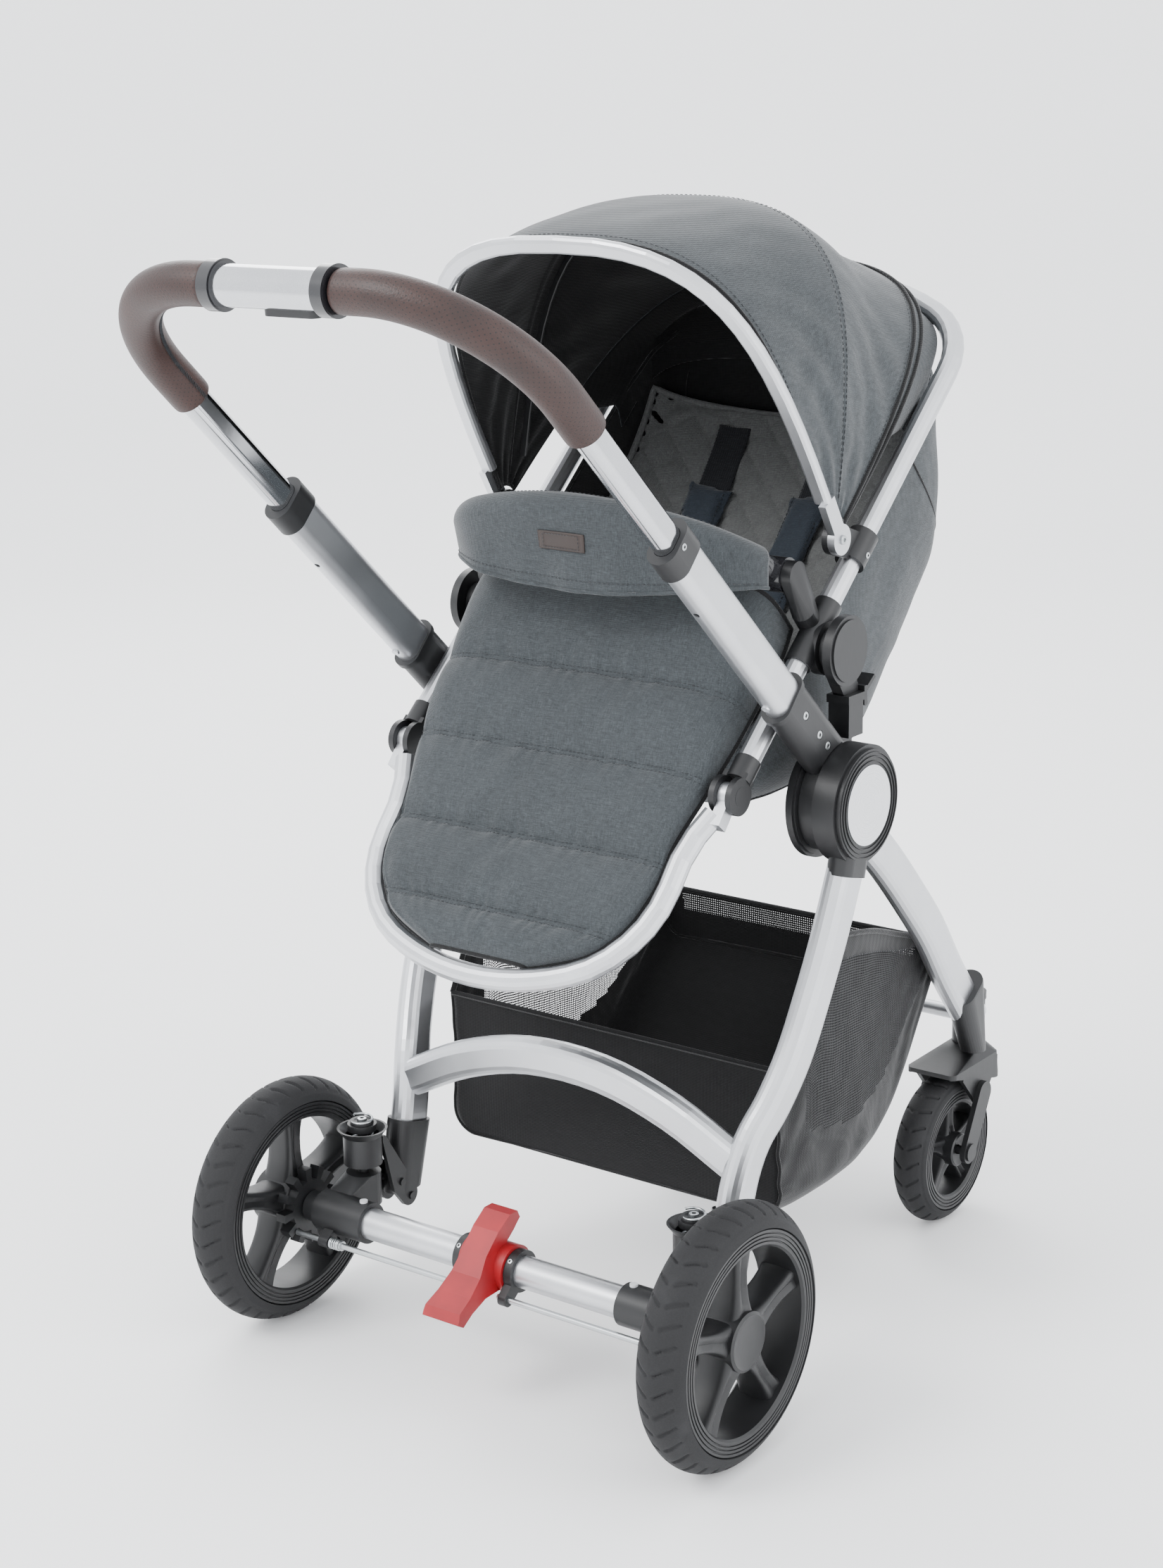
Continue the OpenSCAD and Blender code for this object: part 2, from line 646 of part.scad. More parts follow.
module brake_pedal() color(red) translate([0, rear_axle_y, axle_z]) difference() {
    union() {
        x_cyl(24, -pedal_half - 4.5, 2 * pedal_half + 9);
        // toe plate and upper tab: side outline, narrowed towards the tab
        intersection() {
            translate([-pedal_half - 2, 0, 0]) rotate([90, 0, 90]) linear_extrude(2 * pedal_half + 4) polygon([
                [-8, -16], [-40, -17], [-62, -24], [-76, -33], [-84, -28], [-80, -18], [-62, -9], [-44, 4],
                [-30, 22], [-12, 40], [6, 52], [18, 52], [22, 44], [12, 34], [2, 26], [0, 16]
            ]);
            rotate([90, 0, 0]) translate([0, 0, -40]) linear_extrude(150) polygon([
                [-16, 60], [-15, 20], [-pedal_half, -24], [-pedal_half, -60],
                [pedal_half, -60], [pedal_half, -24], [15, 20], [16, 60]
            ]);
        }
    }
    x_cyl(axle_tube_d / 2 + run_gap, -40, 80);
}

module brake_rod(side) color(steel) on_side(side) translate([0, rear_axle_y + rod_y, axle_z + rod_z]) {
    x_cyl(rod_r, pedal_half + 0.5, ring_x - pedal_half - 1.5);
    if (side < 0) x_cyl(rod_r + 2, sleeve_x1 - 60, 2);
}

module brake_spring() color(steel) translate([0, rear_axle_y + rod_y, axle_z + rod_z]) on_side(-1)
    x_ring(rod_r + 3, rod_r + 1, sleeve_x1 - 58 + gap, 14 - 2 * gap);

module wheel_release(side) color(white) on_side(side)
    translate([sleeve_x0 + 9, rear_axle_y, axle_z + axle_tube_d / 2 + 1]) cylinder(r = 4, h = 6);

// ---------------------------------------------------------------- handle

module handle_sockets() color(black) both_sides() in_handle() difference() {
    union() {
        x_cyl(drum_r, drum_x0, drum_t);
        translate([arm_x, arm_p, 0]) linear_extrude(flange_a) oval(arm_a + 7, arm_b + 3);
        translate([arm_x, arm_p, flange_a - 6]) linear_extrude(6) oval(arm_a + 12, arm_b + 5);
    }
    translate([arm_x, arm_p, flange_a - 50]) linear_extrude(60) oval(arm_a, arm_b);
    x_cyl(hub_clear_r, inner_x0 - 10, drum_x0 - inner_x0 + 10);
    x_cyl(hub_clear_r, drum_x0 + drum_t, 40);
    x_cyl(hub_pin_r + run_gap, inner_x0, 60);
    for (a = [64, 84, 118]) translate([arm_x + arm_b / 2 + 1, arm_p, a]) x_cyl(4.6, 0, 10);
}

module handle_arms() color(alu) both_sides() in_handle() {
    translate([arm_x, arm_p, flange_a - 50]) difference() {
        oval_tube(arm_a, arm_b, tube_t, collar_a - flange_a + 50);
        translate([0, -arm_a / 2 - 1, 220]) rotate([-90, 0, 0]) cylinder(r = 3, h = 6);
    }
    translate([arm_x, arm_p - arm_a / 2 + 0.3, flange_a + 16]) rotate([90, 0, 0]) cylinder(r = 4, h = 1.8);
}

module handle_collars() color(black) both_sides() in_handle() translate([arm_x, arm_p, collar_a - 14])
    difference() {
        linear_extrude(27) oval(arm_a + 5, arm_b + 5);
        translate([0, 0, -1]) linear_extrude(15) oval(arm_a, arm_b);
        linear_extrude(40) oval(tube_a + 2 * gap, tube_b + 2 * gap);
    }

// The U of the handle, for a round section of radius r, from the arm's place a0 to x0 on the bar
module handle_bend(r, a0, x0) {
    translate([arm_x, 0, a0]) cylinder(r = r, h = handle_l - bend_r - a0);
    translate([arm_x - bend_r, 0, handle_l - bend_r]) rotate([90, 0, 0])
        rotate_extrude(angle = 90) translate([bend_r, 0]) circle(r);
    translate([0, 0, handle_l]) x_cyl(r, x0, arm_x - bend_r - x0);
}

module handle_tube() color(chrome) in_handle() translate([0, arm_p, 0]) both_sides() {
    translate([arm_x, 0, flange_a + handle_travel + 10])
        oval_tube(tube_a, tube_b, tube_t, grip_a - flange_a - handle_travel + 10);
    handle_bend(bar_r, grip_a + 19, 0);
}

module handle_grips() color(brown) in_handle() translate([0, arm_p, 0]) both_sides() {
    difference() {
        handle_bend(grip_d / 2, grip_a, ring_half);
        handle_bend(bar_r, grip_a + 19, ring_half - 1);
        translate([arm_x, 0, grip_a - 1]) linear_extrude(21) oval(tube_a, tube_b);
    }
}

module handle_rings() color(black) in_handle() translate([0, arm_p, handle_l]) both_sides() difference() {
    union() {
        x_cyl(grip_d / 2 + 3, ring_half - 13, 12.5);
        x_cyl(grip_d / 2 + 1.5, ring_half - 14, 14);
    }
    x_cyl(bar_r, 0, 100);
}

module handle_sleeve() color(chrome) in_handle() translate([0, arm_p, handle_l]) difference() {
    x_cyl(grip_d / 2 - 1, 14 - ring_half, 2 * ring_half - 28);
    x_cyl(bar_r, -100, 200);
    translate([button_x, 0, 0]) rotate([90 + button_turn, 0, 0]) translate([0, 0, bar_r + 1])
        linear_extrude(20) rotate([0, 0, 90]) oval(button_l + 1, 16);
}

module handle_button() color(black) in_handle()
    translate([button_x, arm_p, handle_l]) rotate([90 + button_turn, 0, 0]) translate([0, 0, grip_d / 2 - 5])
        linear_extrude(8) rotate([0, 0, 90]) oval(button_l, 15);

// ---------------------------------------------------------------- seat frame

module seat_adapters() color(black) both_sides() {
    tongue(0, 0);
    translate([inner_x0 + 5, hub_y + post_y - 13, socket_z + gap]) cube([12, 26, 8]);
    difference() {
        hull() {
            translate([0, seat_pivot_y, seat_pivot_z]) x_cyl(20, inner_x0 + 5, 12);
            translate([inner_x0 + 5, hub_y + post_y - 13, socket_z + gap]) cube([12, 26, 4]);
        }
        translate([0, seat_pivot_y, seat_pivot_z]) x_cyl(8 + run_gap, inner_x0, 30);
    }
}

seat_hoop = hoop([[seat_x, hinge_s + 22], [seat_x, 0]], seat_x, seat_top_l, top_r, crown_r, 6);
module seat_frame() color(alu) in_seat() translate([0, 0, tube_n])
    sweep([for (p = seat_hoop) [p[0], p[1], 0]], oval_ring(seat_tube_d, seat_tube_d, 16), side = [0, 0, 1]);

module seat_fittings() color(black) in_seat() both_sides() {
    r = seat_tube_d / 2;
    // recline hub on the tube
    difference() {
        union() {
            translate([seat_x, -34, tube_n]) rotate([-90, 0, 0]) cylinder(r = r + 2.5, h = 74);
            x_cyl(disc_r - 8, seat_x + 3, inner_x0 + 5 - gap - seat_x - 3);
        }
        translate([seat_x, -40, tube_n]) rotate([-90, 0, 0]) cylinder(r = r, h = 90);
    }
    x_cyl(8, inner_x0 + 3, 16);
    x_cyl(disc_r, inner_x0 + 17 + gap, 9);
    x_cyl(disc_r - 4, inner_x0 + 26, 2);
    // plug and pin of the bumper bar
    hull() {
        translate([0, bumper_s, bumper_n]) x_cyl(elbow_r - 2.5, elbow_x, 11);
        translate([elbow_x + 12, 10, tube_n + 9]) cylinder(r = 11.5, h = 16, $fn = 32);
    }
    translate([0, bumper_s, bumper_n]) x_cyl(elbow_pin_r, elbow_x - 13, 16);
    // canopy clamp
    difference() {
        union() {
            translate([seat_x, bow_s + 6, tube_n]) rotate([-90, 0, 0]) cylinder(r = r + 4, h = 36);
            hull() {
                translate([0, bow_s, bow_n]) x_cyl(15, seat_x - 1, 6);
                translate([0, bow_s + 24, tube_n + 4]) x_cyl(14, seat_x - 1, 6);
            }
        }
        translate([seat_x, bow_s, tube_n]) rotate([-90, 0, 0]) cylinder(r = r, h = 60);
        translate([0, bow_s, bow_n]) x_cyl(4 + run_gap, seat_x - 10, 40);
    }
    // footrest knuckle
    difference() {
        union() {
            translate([seat_x, hinge_s + 16, tube_n]) rotate([-90, 0, 0]) cylinder(r = r + 1.5, h = 24);
            translate([0, hinge_s, tube_n]) x_cyl(18, seat_x - 13.5, 6);
            translate([0, hinge_s, tube_n]) x_cyl(18, seat_x + 5, 6);
            translate([seat_x - 13.5, hinge_s + 14, tube_n - 9]) cube([24.5, 8, 18]);
        }
        translate([seat_x, hinge_s + 22, tube_n]) rotate([-90, 0, 0]) cylinder(r = r, h = 40);
        translate([0, hinge_s, tube_n]) x_cyl(18 + gap, seat_x - 7.5, 12.5);
        translate([0, hinge_s, tube_n]) x_cyl(5 + run_gap, seat_x - 20, 25);
        translate([0, hinge_s, tube_n]) x_cyl(button_r + run_gap, seat_x + 4, 10);
    }
}

// Arch in the plane of a canopy bow: half width w, height h, from height y0 up, with swelling shoulders
function arch(w, h, y0, n) = [
    for (i = [-n : n])
        let (t0 = asin(pow(y0 / h, 1.4)), t = 90 - (90 - t0) * abs(i) / n)
            [sign(i) * (w * pow(cos(t), 1 / 1.4) + bow_swell * sin(2 * t) * sin(t)), h * pow(sin(t), 1 / 1.4)]
];

function fan(x, y, a) = [x, bow_s + y * cos(a), bow_n + y * sin(a)];

module bow(w, h, a, sa, sb, y0) in_seat()
    sweep([for (p = arch(w, h, y0, 14)) fan(p[0], p[1], a)], oval_ring(sa, sb, 12),
        side = [0, -sin(a), cos(a)]);

module canopy_front_bow() {
    color(alu) bow(bow_w, bow_h, bow_angle, 18, 11, 46);
    color(black) both_sides() in_seat() translate([0, bow_s, bow_n]) difference() {
        union() {
            x_cyl(15, seat_x + 5 + gap, 8);
            rotate([bow_angle, 0, 0]) translate([seat_x + 5 + gap, 0, -9]) cube([8, 50, 18]);
            x_cyl(4, seat_x - 2, 12);
        }
        rotate([bow_angle, 0, 0]) translate([seat_x - 10, 46, -15]) cube([40, 10, 30]);
    }
}

mid_angle = 38;
module canopy_mid_bow() color(black) bow(bow_w - 19.2, 308, mid_angle, 8, 3, 50);

// Height of the canopy over its pivot at angle a: drawn in over the middle, long at the seat's top
function canopy_h(a) = 317 + 56 * pow(max(0, (20 - a) / (20 - canopy_back_angle)), 1.6);

canopy_y0 = 90;
canopy_a0 = canopy_back_angle + 5;
canopy_a1 = bow_angle - asin((5.5 + gap) / canopy_y0) - 0.2;
canopy_angles = [for (k = [0 : 7]) canopy_a0 + k * (canopy_a1 - canopy_a0) / 7];

function canopy_rows(d) = [
    for (a = canopy_angles) [for (p = arch(bow_w - 2 - d, canopy_h(a) - d, canopy_y0, 12)) fan(p[0], p[1], a)]
];

module canopy_fabric() color(cloth) in_seat() sheet(canopy_rows(0), canopy_rows(fabric_t));

foot_hoop = hoop([[seat_x - 9, 21.5], [foot_w + 5, 46], [foot_w, 72]], foot_w, footrest_l, foot_r, foot_crown_r, 6);
module footrest_frame() in_footrest() difference() {
    union() {
        color(alu) sweep([for (p = foot_hoop) [p[0], -p[1], 0]], oval_ring(seat_tube_d, seat_tube_d, 16),
            side = [0, 0, 1]);
        color(black) both_sides() {
            x_cyl(knuckle_r, seat_x - 7.2, 11.9);
            translate([seat_x - 7.2, -34, -7]) cube([11.9, 30, 14]);
        }
    }
    both_sides() x_cyl(5 + run_gap, seat_x - 20, 40);
}

module footrest_button(side) color(black) on_side(side) in_seat() translate([0, hinge_s, tube_n]) {
    x_cyl(5, seat_x - 13, 24);
    x_cyl(button_r, seat_x + 5 + button_travel + gap / 2, 3);
}

// Bumper bar: elbows on short plugs, and a rounded U over the child's lap
bumper_x = seat_x - 22;
bumper_half = [
    [0, bumper_s - 37, bumper_n + 114], [70, bumper_s - 37, bumper_n + 107],
    [bumper_x - 42, bumper_s - 34, bumper_n + 87], [bumper_x - 11, bumper_s - 22, bumper_n + 49],
    [bumper_x - 9, bumper_s, bumper_n]
];
bumper_path = spline(concat([for (k = [4 : -1 : 1]) [-bumper_half[k][0], bumper_half[k][1], bumper_half[k][2]]],
    bumper_half), 4);

// The bar stops short of the elbow's axis and ends in a flat knuckle beside the plug
module bumper_bar() color(black) in_seat() difference() {
    union() {
        sweep([for (k = [1 : len(bumper_path) - 2]) bumper_path[k]], oval_ring(2 * bumper_r, 2 * bumper_r - 1, 16),
            side = [0, 0.7, -0.7]);
        both_sides() translate([0, bumper_s, bumper_n]) x_cyl(elbow_r, elbow_x - gap - 20, 20);
    }
    both_sides() translate([0, bumper_s, bumper_n]) x_cyl(elbow_pin_r + run_gap, elbow_x - 14, 20);
}

// ---------------------------------------------------------------- soft goods

// Hammock of the seat: half width w and depth below the frame at place s along the tubes
shell_w = seat_x - seat_tube_d / 2 - 4.2;
seat_rows = [
    [-172, 150, 20], [-150, 158, 82], [-120, 168, 118], [-80, 178, 152], [-40, shell_w, 188], [5, shell_w, 212],
    [50, shell_w, 216], [100, shell_w, 210], [180, shell_w, 198], [245, shell_w, 182], [282, shell_w - 2, 140],
    [312, shell_w - 6, 96], [345, 168, 48], [372, 152, 16]
];
liner_w = shell_w - fabric_t - 0.6;
liner_rows = [[-90, liner_w - 12, 110], [-20, liner_w - 4, 112], [70, liner_w, 105], [145, liner_w, 98],
    [225, liner_w, 87], [290, liner_w - 8, 71], [318, liner_w - 14, 60]];
function hammock(r, d, px, pn) = [
    for (t = [-90 : 10 : 90])
        [sign(t) * (r[1] - d) * pow(abs(sin(t)), px), r[0], tube_n - 4 - (r[2] - d) * pow(cos(t), pn)]
];

module seat_shell() color(cloth) in_seat()
    sheet([for (r = seat_rows) hammock(r, fabric_t, 0.35, 0.35)], [for (r = seat_rows) hammock(r, 0, 0.35, 0.35)]);

module seat_liner() color(grey_cloth) in_seat()
    sheet([for (r = liner_rows) hammock(r, liner_t, 1, 0.7)], [for (r = liner_rows) hammock(r, 0, 1, 0.7)]);

// Flat strip from x0 to x1 that lies on the liner, lifted off it
function strip(x0, x1, rows, lift) = [
    for (r = rows) [
        for (k = [0 : 4]) let (x = x0 + (x1 - x0) * k / 4, w = r[1] - liner_t)
            [x, r[0], tube_n - 4 - (r[2] - liner_t - lift) * pow(sqrt(1 - pow(x / w, 2)), 0.7)]
    ]
];

module belt(x, w, t, lift, rows) sheet(strip(x - w / 2, x + w / 2, rows, lift + t), strip(x - w / 2, x + w / 2, rows, lift));
module harness() color(black) in_seat() for (side = [-1, 1]) {
    belt(side * 62, 38, 3, 0.8, [for (k = [3 : 5]) liner_rows[k]]);
    belt(side * 62, 56, 6, 4.1, [for (k = [2 : 4]) liner_rows[k]]);
}

// Apron from the footrest to the bumper bar: place along the tubes, half width, rise in the middle
apron_rows = [[19 - footrest_l, foot_w - 114, 6], [27 - footrest_l, foot_w - 91, 10],
    [40 - footrest_l, foot_w - 60, 13], [64 - footrest_l, foot_w - 34, 14], [-115, foot_w - 15, 12],
    [-60, foot_w - 12, 14], [0, 170, 24], [82, 176, 47], [126, 176, 58], [161, 175, 68], [190, 170, 78]];
function apron_row(r, d) =
    let (edge = tube_n + 2 + min(0, r[0]) * sin(foot_drop))
        [for (i = [-8 : 8]) let (t = 90 - 11.25 * i)
            [sign(i) * (r[1] - d) * pow(abs(cos(t)), 0.45), hinge_s + r[0], edge + (r[2] - d) * pow(sin(t), 0.45)]];

module apron() color(cloth) in_seat()
    sheet([for (r = apron_rows) apron_row(r, 0)], [for (r = apron_rows) apron_row(r, fabric_t)]);

// Flap over the bumper bar: an arc round the bar, then a free fall on the parent's side
up = [0, sin(seat_slope), cos(seat_slope)];
flap_r = (bumper_r + 0.2) / cos(20) + fabric_t;
flap_drop = 64;
function flap_point(i, k, d) =
    let (p = bumper_path[i], t = unit(bumper_path[i + 1] - bumper_path[i - 1]), u = unit(up - (up * t) * t),
         fall = flap_drop * pow(max(0, 1 - pow(abs(p[0]) / bumper_x, 2.5)), 0.5), a = 120 - 40 * min(k, 3))
        p + (flap_r - d) * (cos(a) * cross(t, u) + sin(a) * u)
            - max(0, k - 3) / 2 * fall * (up + 0.12 * cross(t, u));

function flap_rows(d) = [for (k = [0 : 5]) [for (i = [3 : len(bumper_path) - 4]) flap_point(i, k, d)]];
module apron_flap() color(cloth) in_seat() sheet(flap_rows(0), flap_rows(fabric_t));

// ---------------------------------------------------------------- nodes

front_legs();
front_leg_hubs();
hub_pins();
seat_posts();
swivel_housings();
basket();
seat_release(-1);  // seat_release_l
seat_release(1);  // seat_release_r
swivel_lock(-1);  // swivel_lock_l
swivel_lock(1);  // swivel_lock_r
front_fork(-1);  // front_fork_l
front_fork(1);  // front_fork_r
front_arm(-1);  // front_arm_l
front_arm(1);  // front_arm_r
front_rim(-1);  // front_rim_l
front_rim(1);  // front_rim_r
front_tyre(-1);  // front_tyre_l
front_tyre(1);  // front_tyre_r
rear_legs();
rear_leg_hubs();
hub_covers();
leg_brackets();
suspension_springs();
axle_tube();
axle_sleeves();
guide_posts();
pedal_collars();
rear_rim(-1);  // rear_rim_l
rear_rim(1);  // rear_rim_r
rear_tyre(-1);  // rear_tyre_l
rear_tyre(1);  // rear_tyre_r
brake_pedal();
brake_rod(-1);  // brake_rod_l
brake_rod(1);  // brake_rod_r
brake_spring();
wheel_release(-1);  // wheel_release_l
wheel_release(1);  // wheel_release_r
handle_sockets();
handle_arms();
handle_collars();
handle_tube();
handle_grips();
handle_rings();
handle_sleeve();
handle_button();
seat_adapters();
seat_frame();
seat_fittings();
canopy_front_bow();
canopy_mid_bow();
canopy_fabric();
footrest_frame();
footrest_button(-1);  // footrest_button_l
footrest_button(1);  // footrest_button_r
bumper_bar();
seat_shell();
seat_liner();
harness();
apron();
apron_flap();
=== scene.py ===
"""Looks of a folding baby stroller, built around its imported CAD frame.

Lengths in the tables are millimetres in the part's own axes, turned into metres by the point
functions below. Every new piece has its place in its mesh, and its object sits at the origin.
"""

import json
import logging
import math
from collections.abc import Sequence
from dataclasses import dataclass, field
from enum import Enum

import bmesh
import bpy
import numpy as np
from mathutils import Matrix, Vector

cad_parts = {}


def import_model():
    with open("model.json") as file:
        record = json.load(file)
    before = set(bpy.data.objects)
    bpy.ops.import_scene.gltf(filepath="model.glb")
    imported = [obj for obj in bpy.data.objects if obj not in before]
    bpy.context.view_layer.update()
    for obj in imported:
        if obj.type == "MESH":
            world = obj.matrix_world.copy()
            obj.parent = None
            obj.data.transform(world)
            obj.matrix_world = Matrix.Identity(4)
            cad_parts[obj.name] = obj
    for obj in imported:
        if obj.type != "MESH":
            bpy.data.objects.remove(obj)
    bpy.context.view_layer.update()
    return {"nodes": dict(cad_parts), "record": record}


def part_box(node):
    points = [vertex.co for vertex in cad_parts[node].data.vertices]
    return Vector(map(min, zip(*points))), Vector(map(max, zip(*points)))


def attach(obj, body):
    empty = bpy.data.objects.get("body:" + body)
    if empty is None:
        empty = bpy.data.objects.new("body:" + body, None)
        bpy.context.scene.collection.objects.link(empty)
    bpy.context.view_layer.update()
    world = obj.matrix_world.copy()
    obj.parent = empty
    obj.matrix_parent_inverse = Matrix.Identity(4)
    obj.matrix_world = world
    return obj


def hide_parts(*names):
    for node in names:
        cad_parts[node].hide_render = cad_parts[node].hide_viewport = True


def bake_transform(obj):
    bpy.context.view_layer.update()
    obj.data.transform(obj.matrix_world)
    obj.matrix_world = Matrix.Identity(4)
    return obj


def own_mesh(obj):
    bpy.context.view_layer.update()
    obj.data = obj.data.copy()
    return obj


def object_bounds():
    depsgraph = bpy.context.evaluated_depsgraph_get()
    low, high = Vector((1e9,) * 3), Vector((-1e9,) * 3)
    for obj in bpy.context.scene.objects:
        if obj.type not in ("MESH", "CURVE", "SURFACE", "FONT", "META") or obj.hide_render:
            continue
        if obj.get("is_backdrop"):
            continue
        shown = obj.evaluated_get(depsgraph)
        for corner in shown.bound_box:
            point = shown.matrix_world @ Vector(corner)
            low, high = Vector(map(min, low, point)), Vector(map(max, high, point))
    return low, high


LOG = logging.getLogger("stroller")
MM = 0.001
Array = np.ndarray


# ---------------------------------------------------------------- axes and curves


def seat_point(x: Array | float, s: Array | float, n: Array | float) -> Array:
    """World point of a place in the seat's axes.

    Args:
        x: Across the stroller, in mm.
        s: Up along the seat tubes from the recline pivot, in mm.
        n: Out of the seat's plane, in mm.

    Returns:
        Points in metres, with the broadcast shape of the arguments and a last axis of 3.
    """
    x, s, n = np.broadcast_arrays(np.asarray(x, float), s, n)
    c, k = math.cos(math.radians(42)), math.sin(math.radians(42))
    return np.stack([x, 68 + s * c - n * k, 713 + s * k + n * c], -1) * MM


def handle_point(x: Array | float, p: Array | float, a: Array | float) -> Array:
    """World point of a place in the handle's axes: across, square to the arms, and along them, in mm."""
    x, p, a = np.broadcast_arrays(np.asarray(x, float), p, a)
    c, k = math.cos(math.radians(46.7)), math.sin(math.radians(46.7))
    return np.stack([x, 54 + p * c - a * k, 570 + p * k + a * c], -1) * MM


def unit(v: Array) -> Array:
    """Vectors scaled to length 1 along the last axis."""
    return v / np.maximum(np.linalg.norm(v, axis=-1, keepdims=True), 1e-12)


def smooth_rows(rows: Sequence[Sequence[float]], at: Array) -> Array:
    """Cubic curves through a table whose first column is the key.

    Args:
        rows: The table, with rising keys.
        at: Keys to read it at.

    Returns:
        One row for each key in at, without the key column. Slopes are the table's own gradient.
    """
    table = np.asarray(rows, float)
    keys, values = table[:, 0], table[:, 1:]
    slope = np.gradient(values, keys, axis=0)
    i = np.clip(np.searchsorted(keys, at) - 1, 0, len(keys) - 2)
    h = (keys[i + 1] - keys[i])[:, None]
    t = (np.asarray(at)[:, None] - keys[i][:, None]) / h
    return (
        values[i] * (2 * t**3 - 3 * t**2 + 1)
        + slope[i] * h * (t**3 - 2 * t**2 + t)
        + values[i + 1] * (3 * t**2 - 2 * t**3)
        + slope[i + 1] * h * (t**3 - t**2)
    )


def spline(points: Sequence[Sequence[float]], steps: int) -> Array:
    """Catmull-Rom curve through the points, with steps segments between each two of them."""
    p = np.asarray(points, float)
    q = np.vstack([p[:1], p, p[-1:]])
    t = np.linspace(0, 1, steps, endpoint=False)[None, :, None]
    p0, p1, p2, p3 = (q[k : k + len(p) - 1, None, :] for k in range(4))
    curve = 0.5 * (
        2 * p1
        + (p2 - p0) * t
        + (2 * p0 - 5 * p1 + 4 * p2 - p3) * t**2
        + (3 * p1 - p0 - 3 * p2 + p3) * t**3
    )
    return np.vstack([curve.reshape(-1, p.shape[1]), p[-1:]])


def ripple(u: Array, v: Array, seed: int, waves: int = 7) -> Array:
    """Soft irregular folds: a sum of sines in seeded directions, between about -1 and 1."""
    rng = np.random.default_rng(seed)
    total = np.zeros(np.broadcast(u, v).shape)
    for _ in range(waves):
        fu, fv, phase = rng.uniform(1.5, 7), rng.uniform(1.5, 7), rng.uniform(0, 2 * math.pi)
        total = total + np.sin(2 * math.pi * (fu * u + rng.choice([-1, 1]) * fv * v) + phase)
    return total / waves * 1.4


# ---------------------------------------------------------------- surfaces


@dataclass
class Surface:
    """A grid of points in metres, with the faces between its neighbours.

    Attributes:
        points: Array of shape (u, v, 3).
        wrap_u: The last row joins the first.
        wrap_v: The last column joins the first.
        cap: Close the first and last row with one face each.
        finish: Index of the finish, one for all faces or one for each quad.
        uv: Coordinates in metres along the surface, of shape (u, v, 2).
    """

    points: Array
    wrap_u: bool = False
    wrap_v: bool = False
    cap: bool = False
    finish: int | Array = 0
    uv: Array | None = None

    def quads(self) -> Array:
        """Corner indices of the quads, row by row."""
        nu, nv = self.points.shape[:2]
        i = np.arange(nu if self.wrap_u else nu - 1)[:, None]
        j = np.arange(nv if self.wrap_v else nv - 1)[None, :]
        a, b = (i + 1) % nu, (j + 1) % nv
        corners = [i * nv + j, a * nv + j, a * nv + b, i * nv + b]
        return np.stack([np.broadcast_to(c, (i.size, j.size)) for c in corners], -1).reshape(-1, 4)

    def caps(self) -> list[list[int]]:
        """Corner indices of the end faces."""
        nu, nv = self.points.shape[:2]
        return [list(range(nv)), list(range((nu - 1) * nv, nu * nv))] if self.cap else []

    def indices(self) -> Array:
        """Finish index of each face, caps last."""
        count = len(self.quads())
        own = np.broadcast_to(np.asarray(self.finish).ravel(), (count,)) if np.ndim(self.finish) == 0 else np.ravel(self.finish)
        return np.concatenate([own, np.full(len(self.caps()), own[0])]).astype(np.int32)


def frames(path: Array, ref: Array, closed: bool = False) -> tuple[Array, Array, Array]:
    """Tangent and two square directions along a path, turned as little as the reference allows.

    Args:
        path: Points of shape (n, 3).
        ref: A direction, or one for each point, that is never along the path.
        closed: The path's last point joins its first.

    Returns:
        Tangent, side (square to ref) and top, each of shape (n, 3).
    """
    step = np.roll(path, -1, 0) - np.roll(path, 1, 0) if closed else np.gradient(path, axis=0)
    t = unit(step)
    side = unit(np.cross(np.broadcast_to(ref, t.shape), t))
    return t, side, np.cross(t, side)


def tube(
    path: Array,
    radius: Array | float,
    sides: int = 10,
    ref: Sequence[float] = (0, 0, 1),
    closed: bool = False,
    flat: float = 1.0,
    power: float = 2.0,
    finish: int = 0,
) -> Surface:
    """An oval section carried along a path.

    The section is a superellipse: radius along side, flat times radius along top.

    Args:
        path: Points in metres.
        radius: Half size in metres, one or one for each point.
        sides: Points round the section.
        ref: Reference direction for the section's turn.
        closed: Join the ends.
        flat: Height over width of the section.
        power: Exponent of the superellipse; 2 is an ellipse.
        finish: Index of the finish.

    Returns:
        The closed surface.
    """
    _, side, top = frames(path, np.asarray(ref, float), closed)
    a = np.linspace(0, 2 * math.pi, sides, endpoint=False)
    cx = np.sign(np.cos(a)) * np.abs(np.cos(a)) ** (2 / power)
    cy = np.sign(np.sin(a)) * np.abs(np.sin(a)) ** (2 / power)
    r = np.broadcast_to(np.asarray(radius, float), (len(path),))[:, None, None]
    ring = path[:, None] + r * (cx[None, :, None] * side[:, None] + flat * cy[None, :, None] * top[:, None])
    return Surface(ring, wrap_u=closed, wrap_v=True, cap=not closed, finish=finish)


